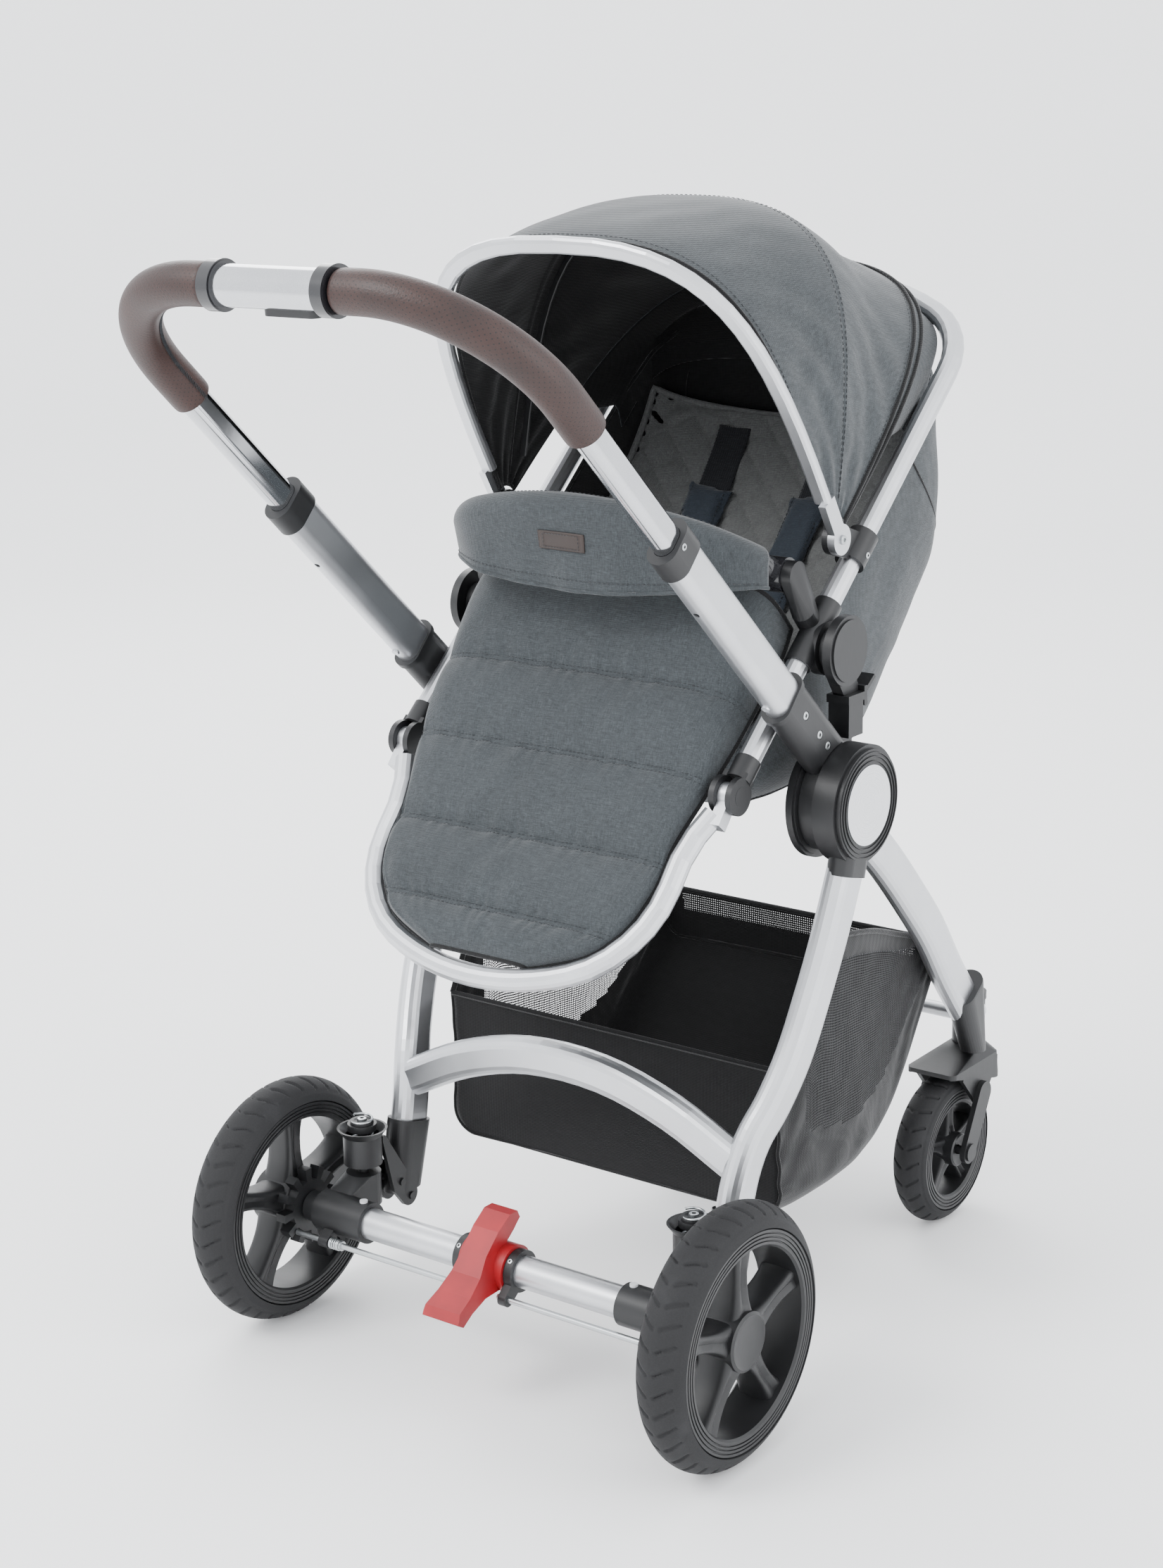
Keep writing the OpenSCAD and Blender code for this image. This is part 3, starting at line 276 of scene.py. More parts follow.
def turned(profile: Sequence[Sequence[float]], centre: Sequence[float], steps: int = 96, loop: bool = False, finish: int = 0) -> Surface:
    """A profile turned about the X direction.

    Args:
        profile: Pairs of radius and place along X from the centre, in mm.
        centre: The turning centre in mm.
        steps: Points round the turn.
        loop: The profile is a closed line.
        finish: Index of the finish.

    Returns:
        The turned surface.
    """
    p = np.asarray(profile, float)
    a = np.linspace(0, 2 * math.pi, steps, endpoint=False)
    pts = np.stack(
        [
            np.broadcast_to(p[:, 1][:, None], (len(p), steps)),
            p[:, 0][:, None] * np.cos(a),
            p[:, 0][:, None] * np.sin(a),
        ],
        -1,
    )
    return Surface((pts + np.asarray(centre, float)) * MM, wrap_u=loop, wrap_v=True, finish=finish)


def stitches(path: Array, ref: Sequence[float], pitch: float = 0.005, length: float = 0.0034, radius: float = 0.0005) -> Surface:
    """A row of sewn stitches: short closed threads, evenly spaced along a path.

    Args:
        path: Points in metres.
        ref: Reference direction for the threads' turn.
        pitch: Distance from one stitch to the next.
        length: Length of one stitch.
        radius: Half thickness of the thread.

    Returns:
        One surface whose rows are the threads' rings, joined only within each thread.
    """
    d = np.concatenate([[0], np.cumsum(np.linalg.norm(np.diff(path, axis=0), axis=1))])
    at = np.arange(pitch / 2, d[-1], pitch)
    c = np.stack([np.interp(at, d, path[:, k]) for k in range(3)], -1)
    t, side, top = frames(c, np.asarray(ref, float))
    along = np.array([-0.5, -0.35, 0.35, 0.5]) * length
    r = np.array([0.25, 1, 1, 0.25]) * radius
    a = np.linspace(0, 2 * math.pi, 5, endpoint=False)
    pts = (
        c[:, None, None]
        + along[None, :, None, None] * t[:, None, None]
        + r[None, :, None, None] * (np.cos(a)[None, None, :, None] * side[:, None, None] + np.sin(a)[None, None, :, None] * top[:, None, None])
    )
    return Threads(pts.reshape(-1, 5, 3), wrap_v=True)


class Threads(Surface):
    """Rows of rings in groups of four, each group a closed thread of its own."""

    def quads(self) -> Array:
        """Quads within each group of four rings."""
        q = super().quads()
        row = np.repeat(np.arange(len(self.points) - 1), self.points.shape[1])
        return q[row % 4 != 3]

    def caps(self) -> list[list[int]]:
        """Both end faces of every thread."""
        n = self.points.shape[1]
        rows = [r for r in range(len(self.points)) if r % 4 in (0, 3)]
        return [list(range(r * n, (r + 1) * n)) for r in rows]


def make_piece(
    name: str,
    surfaces: Sequence[Surface],
    finishes: Sequence["Finish"],
    body: str | None = None,
    merge: bool = True,
    sharp: float = 45,
) -> bpy.types.Object:
    """Joins surfaces into one object at the origin.

    Args:
        name: The piece's name.
        surfaces: Its surfaces.
        finishes: Its finishes, in the order of the surfaces' indices.
        body: The body it rides on, or None to leave it unattached.
        merge: Merge doubled points and turn all faces outwards, for closed surfaces.
        sharp: Angle in degrees above which an edge is drawn sharp.

    Returns:
        The new object.
    """
    verts, faces, mats, uvs, base = [], [], [], [], 0
    for s in surfaces:
        verts.append(s.points.reshape(-1, 3))
        faces += (s.quads() + base).tolist() + [[k + base for k in f] for f in s.caps()]
        mats.append(s.indices())
        uvs.append(np.zeros((s.points.shape[0] * s.points.shape[1], 2)) if s.uv is None else s.uv.reshape(-1, 2))
        base += len(verts[-1])
    mesh = bpy.data.meshes.new(name)
    mesh.from_pydata(np.vstack(verts).tolist(), [], faces)
    mesh.polygons.foreach_set("material_index", np.concatenate(mats))
    if any(s.uv is not None for s in surfaces):
        layer = mesh.uv_layers.new(name="UVMap")
        corner = np.zeros(len(mesh.loops), np.int32)
        mesh.loops.foreach_get("vertex_index", corner)
        layer.data.foreach_set("uv", np.vstack(uvs)[corner].astype(np.float32).ravel())
    if merge:
        work = bmesh.new()
        work.from_mesh(mesh)
        bmesh.ops.remove_doubles(work, verts=work.verts, dist=1e-6)
        bmesh.ops.dissolve_degenerate(work, edges=work.edges, dist=1e-7)
        bmesh.ops.recalc_face_normals(work, faces=work.faces)
        work.to_mesh(mesh)
        work.free()
    mesh.polygons.foreach_set("use_smooth", np.ones(len(mesh.polygons), bool))
    mesh.set_sharp_from_angle(angle=math.radians(sharp))
    for finish in finishes:
        mesh.materials.append(finish.material())
    obj = bpy.data.objects.new(name, mesh)
    bpy.context.scene.collection.objects.link(obj)
    if body:
        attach(obj, body)
    LOG.info("%s: %d faces", name, len(mesh.polygons))
    return obj


def thicken(obj: bpy.types.Object, thickness: float, lining: int = 0, offset: float = -1.0) -> None:
    """Gives a sheet its thickness with a live modifier; lining is added to the inner faces' finish index."""
    m = obj.modifiers.new("thickness", "SOLIDIFY")
    m.thickness, m.offset, m.use_even_offset = thickness, offset, False
    m.material_offset = lining


def face_away(points: Array, centre: Array) -> Array:
    """The grid, with its rows reversed where its faces would look at the centre."""
    du = np.gradient(points, axis=0)
    dv = np.gradient(points, axis=1)
    looks = np.sum(np.cross(du, dv) * (points - centre), -1).mean()
    return points if looks > 0 else points[::-1]


def swell(obj: bpy.types.Object, voxel: float, pressure: float, cap: float) -> None:
    """Fills a closed cover like a pad: remesh, cloth under pressure, capped and applied, one subdivision.

    Args:
        obj: The closed cover, which starts slightly small.
        voxel: Remesh size in metres.
        pressure: Pressure of the filling.
        cap: Furthest that a point may move, in metres.
    """
    scene = bpy.context.scene

    def baked() -> bpy.types.Mesh:
        """The object's mesh with its modifiers applied."""
        return bpy.data.meshes.new_from_object(obj.evaluated_get(bpy.context.evaluated_depsgraph_get()))

    m = obj.modifiers.new("remesh", "REMESH")
    m.mode, m.voxel_size = "VOXEL", voxel
    obj.data = baked()
    obj.modifiers.clear()
    start = np.zeros(len(obj.data.vertices) * 3, np.float32)
    obj.data.vertices.foreach_get("co", start)
    c = obj.modifiers.new("cloth", "CLOTH")
    c.settings.quality = 4
    c.settings.mass = 0.2
    c.settings.use_pressure = True
    c.settings.uniform_pressure_force = pressure
    c.settings.effector_weights.gravity = 0
    c.settings.bending_stiffness = 0.8
    c.point_cache.frame_start, c.point_cache.frame_end = 1, 20
    for f in range(1, 21):
        scene.frame_set(f)
    done = baked()
    obj.modifiers.clear()
    scene.frame_set(1)
    end = np.zeros(len(done.vertices) * 3, np.float32)
    done.vertices.foreach_get("co", end)
    move = (end - start).reshape(-1, 3)
    size = np.linalg.norm(move, axis=1, keepdims=True)
    move *= np.minimum(1, cap / np.maximum(size, 1e-9))
    obj.data = done
    done.vertices.foreach_set("co", (start.reshape(-1, 3) + move).ravel())
    LOG.info("%s swelled by up to %.1f mm", obj.name, float(np.minimum(size, cap).max()) * 1000)
    m = obj.modifiers.new("soften", "SUBSURF")
    m.levels = m.render_levels = 1
    obj.data = baked()
    obj.modifiers.clear()
    obj.data.polygons.foreach_set("use_smooth", np.ones(len(obj.data.polygons), bool))


# ---------------------------------------------------------------- finishes


class Graph:
    """A material's node tree with short calls for the nodes that the finishes share."""

    def __init__(self, name: str) -> None:
        """Makes a material with an empty Principled shader."""
        self.mat = bpy.data.materials.new(name)
        self.mat.use_nodes = True
        self.tree = self.mat.node_tree
        self.shader = self.tree.nodes["Principled BSDF"]

    def node(self, kind: str, **values: object) -> bpy.types.Node:
        """A new node; values are set on its properties."""
        n = self.tree.nodes.new(kind)
        for key, value in values.items():
            setattr(n, key, value)
        return n

    def link(self, a: bpy.types.NodeSocket, b: bpy.types.NodeSocket) -> None:
        """Joins two sockets."""
        self.tree.links.new(a, b)

    def coords(self, scale: Sequence[float], uv: bool = False, turn: Sequence[float] = (0, 0, 0)) -> bpy.types.NodeSocket:
        """Object or UV coordinates, turned and scaled."""
        t = self.node("ShaderNodeTexCoord")
        m = self.node("ShaderNodeMapping")
        m.inputs["Scale"].default_value = scale
        m.inputs["Rotation"].default_value = turn
        self.link(t.outputs["UV" if uv else "Object"], m.inputs["Vector"])
        return m.outputs["Vector"]

    def noise(self, where: bpy.types.NodeSocket, scale: float, detail: float = 3) -> bpy.types.NodeSocket:
        """Noise from 0 to 1."""
        n = self.node("ShaderNodeTexNoise")
        n.inputs["Scale"].default_value = scale
        n.inputs["Detail"].default_value = detail
        self.link(where, n.inputs["Vector"])
        return n.outputs["Fac"]

    def wave(self, where: bpy.types.NodeSocket, scale: float, direction: str) -> bpy.types.NodeSocket:
        """Sine bands along X, Y or Z."""
        n = self.node("ShaderNodeTexWave", bands_direction=direction)
        n.inputs["Scale"].default_value = scale
        self.link(where, n.inputs["Vector"])
        return n.outputs["Fac"]

    def math(self, op: str, a: bpy.types.NodeSocket, b: bpy.types.NodeSocket | float) -> bpy.types.NodeSocket:
        """One arithmetic step."""
        n = self.node("ShaderNodeMath", operation=op)
        self.link(a, n.inputs[0])
        if isinstance(b, (int, float)):
            n.inputs[1].default_value = b
        else:
            self.link(b, n.inputs[1])
        return n.outputs[0]

    def ramp(self, value: bpy.types.NodeSocket, stops: Sequence[tuple[float, Sequence[float]]]) -> bpy.types.NodeSocket:
        """Colours between stops."""
        n = self.node("ShaderNodeValToRGB")
        e = n.color_ramp.elements
        e[0].position, e[0].color = stops[0][0], (*stops[0][1], 1)
        e[1].position, e[1].color = stops[-1][0], (*stops[-1][1], 1)
        for place, colour in stops[1:-1]:
            x = e.new(place)
            x.color = (*colour, 1)
        self.link(value, n.inputs["Fac"])
        return n.outputs["Color"]

    def colour(self, socket: bpy.types.NodeSocket) -> None:
        """Drives the base colour."""
        self.link(socket, self.shader.inputs["Base Color"])

    def rough(self, value: bpy.types.NodeSocket, low: float, high: float) -> None:
        """Drives the roughness between two values."""
        n = self.node("ShaderNodeMapRange")
        n.inputs["To Min"].default_value, n.inputs["To Max"].default_value = low, high
        self.link(value, n.inputs["Value"])
        self.link(n.outputs["Result"], self.shader.inputs["Roughness"])

    def bump(self, height: bpy.types.NodeSocket, strength: float, distance: float) -> None:
        """Adds relief."""
        n = self.node("ShaderNodeBump")
        n.inputs["Strength"].default_value, n.inputs["Distance"].default_value = strength, distance
        self.link(height, n.inputs["Height"])
        self.link(n.outputs["Normal"], self.shader.inputs["Normal"])

    def plain(self, **values: float) -> None:
        """Sets uniform numbers on the shader's own sockets, by name with spaces as underscores."""
        for key, value in values.items():
            self.shader.inputs[key.replace("_", " ")].default_value = value


def shade(colour: Sequence[float], k: float) -> tuple[float, ...]:
    """The colour made k times as bright."""
    return tuple(min(1.0, c * k) for c in colour)


@dataclass(frozen=True)
class Finish:
    """A finish with a base colour. Each kind draws its own grain."""

    name: str
    base: tuple[float, float, float]

    def material(self) -> bpy.types.Material:
        """The finish's material, made once."""
        return bpy.data.materials.get(self.name) or self.draw()

    def draw(self) -> bpy.types.Material:
        """Makes the material."""
        raise NotImplementedError


@dataclass(frozen=True)
class Metal(Finish):
    """Anodised, brushed, plated or polished metal.

    Attributes:
        low: Lowest roughness.
        high: Highest roughness.
        grain: How far the fine scratches are drawn out, along each axis.
        relief: Strength of the fine relief.
    """

    low: float = 0.26
    high: float = 0.4
    grain: tuple[float, float, float] = (1.0, 1.0, 1.0)
    relief: float = 0.08

    def draw(self) -> bpy.types.Material:
        """Cloudy roughness over fine drawn scratches."""
        g = Graph(self.name)
        fine = g.noise(g.coords(self.grain), 900, 2)
        cloud = g.noise(g.coords((1, 1, 1)), 22, 4)
        mix = g.math("ADD", g.math("MULTIPLY", fine, 0.5), g.math("MULTIPLY", cloud, 0.5))
        g.colour(g.ramp(mix, [(0.3, shade(self.base, 0.9)), (0.7, shade(self.base, 1.05))]))
        g.rough(mix, self.low, self.high)
        g.bump(fine, self.relief, 0.0003)
        g.plain(Metallic=1.0)
        return g.mat


@dataclass(frozen=True)
class Plastic(Finish):
    """Moulded plastic with spark texture.

    Attributes:
        low: Lowest roughness.
        high: Highest roughness.
        relief: Strength of the texture.
        coat: Clear coat over it.
    """

    low: float = 0.38
    high: float = 0.55
    relief: float = 0.12
    coat: float = 0.0

    def draw(self) -> bpy.types.Material:
        """Fine spark texture, faint flow clouds and handling marks."""
        g = Graph(self.name)
        spark = g.noise(g.coords((1, 1, 1)), 1500, 2)
        cloud = g.noise(g.coords((1, 1, 1)), 30, 5)
        marks = g.noise(g.coords((1, 6, 1), turn=(0.4, 0.2, 0.7)), 70, 6)
        g.colour(g.ramp(cloud, [(0.3, shade(self.base, 0.85)), (0.7, shade(self.base, 1.2))]))
        g.rough(g.math("ADD", g.math("MULTIPLY", cloud, 0.5), g.math("MULTIPLY", marks, 0.5)), self.low, self.high)
        g.bump(spark, self.relief, 0.0003)
        g.plain(Coat_Weight=self.coat, Coat_Roughness=0.12, Specular_IOR_Level=0.5)
        return g.mat


@dataclass(frozen=True)
class Rubber(Finish):
    """Matt foam rubber with a little dust."""

    def draw(self) -> bpy.types.Material:
        """Closed-cell pores with a dusty bloom in patches."""
        g = Graph(self.name)
        pores = g.noise(g.coords((1, 1, 1)), 700, 3)
        dust = g.noise(g.coords((1, 1, 1)), 28, 6)
        g.colour(g.ramp(dust, [(0.35, shade(self.base, 0.9)), (0.6, self.base), (0.8, shade(self.base, 1.7))]))
        g.rough(pores, 0.62, 0.82)
        g.bump(pores, 0.25, 0.0006)
        g.plain(Specular_IOR_Level=0.35)
        return g.mat


@dataclass(frozen=True)
class Cloth(Finish):
    """Woven cloth with mixed yarns.

    Attributes:
        mottle: How much lighter and darker the yarns are.
        yarn: Yarns for each metre, over 6.28.
        relief: Strength of the weave.
        uv: Weave along the piece's own UV map.
    """

    mottle: float = 0.28
    yarn: float = 190.0
    relief: float = 0.35
    uv: bool = False

    def draw(self) -> bpy.types.Material:
        """Two sets of drawn-out yarn flecks at right angles, over a plain weave relief."""
        g = Graph(self.name)
        across = g.noise(g.coords((1, 9, 7), self.uv), 130, 3)
        along = g.noise(g.coords((9, 1.2, 1.4), self.uv), 130, 3)
        cloud = g.noise(g.coords((1, 1, 1), self.uv), 9, 3)
        flecks = g.math("MULTIPLY", g.math("ADD", across, along), 0.5)
        tone = g.math("ADD", g.math("MULTIPLY", flecks, 0.85), g.math("MULTIPLY", cloud, 0.15))
        k = self.mottle
        g.colour(
            g.ramp(
                tone,
                [(0.36, shade(self.base, 1 - k)), (0.48, shade(self.base, 1 - k / 3)), (0.54, self.base), (0.66, shade(self.base, 1 + k))],
            )
        )
        w = g.coords((1, 1, 1), self.uv)
        weave = g.math("MULTIPLY", g.wave(w, self.yarn, "X"), g.wave(w, self.yarn, "Y"))
        if not self.uv:
            weave = g.math("ADD", weave, g.wave(w, self.yarn, "Z"))
        g.bump(g.math("ADD", weave, flecks), self.relief, 0.0005)
        g.plain(Roughness=0.88, Sheen_Weight=0.25, Sheen_Roughness=0.45, Specular_IOR_Level=0.25)
        return g.mat


@dataclass(frozen=True)
class Netting(Finish):
    """Open mesh fabric with round holes, on the piece's own UV map in metres."""

    pitch: float = 0.0026

    def draw(self) -> bpy.types.Material:
        """Threads where the product of two cosine waves is low; holes let light through."""
        g = Graph(self.name)
        k = 1 / self.pitch
        uv = g.coords((k, k, k), uv=True)
        split = g.node("ShaderNodeSeparateXYZ")
        g.link(uv, split.inputs[0])
        px = g.math("COSINE", g.math("MULTIPLY", split.outputs[0], 2 * math.pi), 0)
        py = g.math("COSINE", g.math("MULTIPLY", split.outputs[1], 2 * math.pi), 0)
        field_ = g.math("ADD", px, py)
        thread = g.math("LESS_THAN", field_, 0.75)
        g.link(thread, g.shader.inputs["Alpha"])
        g.colour(g.ramp(g.noise(g.coords((1, 1, 1)), 60, 3), [(0.3, shade(self.base, 0.7)), (0.7, shade(self.base, 1.4))]))
        g.bump(field_, 0.4, 0.0004)
        g.plain(Roughness=0.7, Specular_IOR_Level=0.4)
        return g.mat


@dataclass(frozen=True)
class Leather(Finish):
    """Padded leatherette with rows of small holes, on the piece's own UV map in metres."""

    holes: float = 0.0058

    def draw(self) -> bpy.types.Material:
        """Pebbled grain, rubbed patches, and holes at the crossings of a grid, coloured near black as painted shade
        inside them.
        """
        g = Graph(self.name)
        k = 1 / self.holes
        split = g.node("ShaderNodeSeparateXYZ")
        g.link(g.coords((k, k, k), uv=True), split.inputs[0])
        px = g.math("COSINE", g.math("MULTIPLY", split.outputs[0], 2 * math.pi), 0)
        py = g.math("COSINE", g.math("MULTIPLY", split.outputs[1], 2 * math.pi), 0)
        hole = g.math("GREATER_THAN", g.math("MULTIPLY", px, py), 0.78)
        cells = g.node("ShaderNodeTexVoronoi")
        cells.inputs["Scale"].default_value = 620
        g.link(g.coords((1, 1, 1)), cells.inputs["Vector"])
        cloud = g.noise(g.coords((1, 1, 1)), 26, 4)
        skin = g.ramp(cloud, [(0.3, shade(self.base, 0.75)), (0.7, shade(self.base, 1.25))])
        # Painted shade: the holes get a near-black colour for the shade that falls inside them.
        mix = g.node("ShaderNodeMix", data_type="RGBA")
        g.link(hole, mix.inputs["Factor"])
        g.link(skin, mix.inputs["A"])
        mix.inputs["B"].default_value = (*shade(self.base, 0.15), 1)
        g.colour(mix.outputs["Result"])
        g.rough(cloud, 0.42, 0.58)
        g.bump(g.math("SUBTRACT", g.math("MULTIPLY", cells.outputs["Distance"], 0.5), hole), 0.5, 0.0006)
        g.plain(Specular_IOR_Level=0.45)
        return g.mat


@dataclass(frozen=True)
class Spun(Finish):
    """A disc turned on a lathe about the X direction, centred on y and z in metres."""

    y: float = 0.0
    z: float = 0.0

    def draw(self) -> bpy.types.Material:
        """Fine rings round the disc's own axis, in roughness and relief."""
        g = Graph(self.name)
        t = g.node("ShaderNodeTexCoord")
        m = g.node("ShaderNodeMapping")
        m.inputs["Location"].default_value = (0, -self.y, -self.z)
        m.inputs["Scale"].default_value = (0, 1, 1)
        g.link(t.outputs["Object"], m.inputs["Vector"])
        n = g.node("ShaderNodeVectorMath", operation="LENGTH")
        g.link(m.outputs["Vector"], n.inputs[0])
        rings = g.node("ShaderNodeTexNoise", noise_dimensions="1D")
        rings.inputs["Scale"].default_value = 1800
        g.link(n.outputs["Value"], rings.inputs["W"])
        g.colour(g.ramp(rings.outputs["Fac"], [(0.3, shade(self.base, 0.85)), (0.7, shade(self.base, 1.1))]))
        g.rough(rings.outputs["Fac"], 0.2, 0.38)
        g.bump(rings.outputs["Fac"], 0.12, 0.0003)
        g.plain(Metallic=1.0)
        return g.mat


SATIN = Metal("satin_aluminium_finish", (0.62, 0.63, 0.65), 0.3, 0.42, (1, 5, 5))
CHROME = Metal("polished_chrome_finish", (0.6, 0.61, 0.63), 0.08, 0.16, relief=0.03)
DISC = Spun("spun_aluminium_finish", (0.72, 0.73, 0.75), y=0.054, z=0.57)
ZINC = Metal("zinc_steel_finish", (0.5, 0.52, 0.53), 0.25, 0.42)
NYLON = Plastic("black_nylon_finish", (0.0065, 0.0067, 0.0075), 0.36, 0.52)
GLOSS = Plastic("gloss_black_finish", (0.012, 0.012, 0.014), 0.16, 0.28, relief=0.03, coat=0.4)
RED = Plastic("red_plastic_finish", (0.27, 0.005, 0.009), 0.34, 0.5)
PALE = Plastic("pale_plastic_finish", (0.55, 0.56, 0.57), 0.34, 0.5)
TYRE = Rubber("tyre_foam_finish", (0.0105, 0.0105, 0.0115))
GREY = Cloth("grey_cloth_finish", (0.04, 0.046, 0.05), 0.42)
LINING = Cloth("black_lining_finish", (0.006, 0.006, 0.0065), 0.2)
LINER = Cloth("liner_cloth_finish", (0.12, 0.123, 0.122), 0.3)
WEB = Cloth("black_webbing_finish", (0.014, 0.015, 0.018), 0.25, 120, 0.6)
PADS = Cloth("dark_pad_finish", (0.03, 0.038, 0.05), 0.25)
NET = Netting("black_netting_finish", (0.012, 0.012, 0.013))
SKIN = Leather("brown_leather_finish", (0.026, 0.0098, 0.0072))
PATCH = Plastic("brown_patch_finish", (0.02, 0.011, 0.008), 0.45, 0.6, 0.3)
THREAD = Cloth("dark_thread_finish", (0.02, 0.022, 0.025), 0.2)


class Slot(Enum):
    """The record's material slots and the finish of each."""

    SATIN = ("satin_aluminium", SATIN)
    CHROME = ("polished_chrome", CHROME)
    DISC = ("spun_aluminium", DISC)
    ZINC = ("zinc_steel", ZINC)
    NYLON = ("black_nylon", NYLON)
    GLOSS = ("gloss_black", GLOSS)
    TYRE = ("tyre_foam", TYRE)
    GREY = ("grey_cloth", GREY)
    LINER = ("liner_cloth", LINER)
    NET = ("black_mesh", NET)
    WEB = ("black_webbing", WEB)
    SKIN = ("brown_leather", SKIN)
    RED = ("red_plastic", RED)
    PALE = ("pale_plastic", PALE)


# ---------------------------------------------------------------- soft goods


def superellipse(half: Array, rise: Array, power: float, across: Array, start: float = -90, end: float = 90) -> tuple[Array, Array]:
    """Half arch evenly sampled by direction.

    The radius in direction f is (|sin f|^q + |cos f|^q)^(-1/q), scaled by half across and rise up.

    Args:
        half: Half widths, one for each row.
        rise: Heights, one for each row.
        power: Exponent of the arch's sine; q is 2 over it.
        across: Places from 0 to 1 across the arch.
        start: First direction in degrees from the top.
        end: Last direction in degrees.

    Returns:
        Sideways and upward places, each of shape (rows, places).
    """
    f = np.radians(start + (end - start) * across)
    q = 2 / power
    r = (np.abs(np.sin(f)) ** q + np.abs(np.cos(f)) ** q) ** (-1 / q)
    return half[:, None] * r * np.sin(f), rise[:, None] * r * np.cos(f)


@dataclass
class Canopy:
    """Hood of one curved sheet over two bows, with a black lining, piping and seams."""

    width: float = 198
    foot: float = 20
    swelling: float = 16
    back: float = -2
    front: float = 75.1
    pivot: tuple[float, float] = (84, 60)
    mid: float = 38

    def height(self, a: Array) -> Array:
        """Height over the pivot at angle a, longer towards the back."""
        return 317 + 56 * np.maximum(0, (20 - a) / 27) ** 1.6

    def arch(self, a: Array, i: Array, grow: Array | float = 0) -> Array:
        """Points of the sheet at angles a and places i from -1 to 1 across, moved out by grow.

        The arch is a superellipse with swelling shoulders, and its plane fans about the pivot.
        """
        h = self.height(a)
        t0 = np.degrees(np.arcsin((self.foot / h) ** 1.4))
        t = np.radians(90 - (90 - t0) * np.abs(i))
        x = np.sign(i) * ((self.width + grow) * np.cos(t) ** (1 / 1.4) + self.swelling * np.sin(2 * t) * np.sin(t))
        y = (h + grow) * np.sin(t) ** (1 / 1.4)
        r = np.radians(a)
        return seat_point(x, self.pivot[0] + y * np.cos(r), self.pivot[1] + y * np.sin(r))

    def sag(self, a: Array, i: Array) -> Array:
        """How far the cloth stands off its bows: hollow between them, with fine folds by the seams."""
        lo = np.where(a < self.mid, self.back, self.mid)
        hi = np.where(a < self.mid, self.mid, self.front)
        u = (a - lo) / (hi - lo)
        crown = (1 - np.abs(i) ** 3)
        folds = ripple(u * 0.35, i * 1.6, 4) * np.sin(math.pi * u) * (0.5 + 1.4 * np.abs(i) ** 2)
        seam = -1.2 * np.exp(-(((a - self.mid) / 0.55) ** 2)) - 0.9 * np.exp(-(((np.abs(i) - 0.62) / 0.004) ** 2))
        return -6.5 * np.sin(math.pi * u) ** 1.3 * crown + 1.3 * folds + seam

    def build(self) -> None:
        """Makes the sheet, its edge piping and its seams."""
        a, i = np.meshgrid(np.linspace(self.back, self.front, 120), np.linspace(-1, 1, 161), indexing="ij")
        grid = self.arch(a, i, self.sag(a, i))
        grid = face_away(grid, seat_point(0, 200, 100))
        hood = make_piece("canopy_sheet", [Surface(grid)], [GREY, LINING], merge=False)
        thicken(hood, 0.0014, lining=1)
        edge = np.linspace(-1, 1, 140)
        lines = [self.arch(np.full(140, k), edge, g) for k, g in ((self.back + 0.3, 1.2), (self.front - 0.1, -0.6), (self.back + 3.2, 1.0))]
        spread = np.linspace(self.back, self.front, 60)
        lines += [self.arch(spread, np.full(60, float(k)), 0.4) for k in (-1, 1)]
        ref = np.array([0.0, 1.0, 0.15])
        pipes = [tube(p, 0.0021, 8, ref=ref if len(p) == 140 else (1, 0, 0)) for p in lines]
        piping = make_piece("canopy_piping", pipes, [LINING])
        rows = []
        for k, g in ((self.mid - 1.0, 0.2), (self.mid + 1.0, 0.2), (self.back + 5.0, 0.4), (self.front - 1.6, 0.2)):
            rows.append(stitches(self.arch(np.full(140, k), edge * 0.98, g), (0, 1, 0.15), 0.0055, 0.0036, 0.00035))
        seams = make_piece("canopy_stitching", rows, [THREAD])
        cx, cy = self.pivot
        r = math.radians(self.mid)
        mid = np.array([cx + 200 * math.cos(r), cy + 200 * math.sin(r)])
        side = np.array([-math.sin(r), math.cos(r)]) * 105
        ends = [tuple(seat_point(0, *(mid + k * side))) for k in (-1, 1)]
        for obj in (hood, piping, seams):
            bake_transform(obj)
        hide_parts("canopy_fabric")


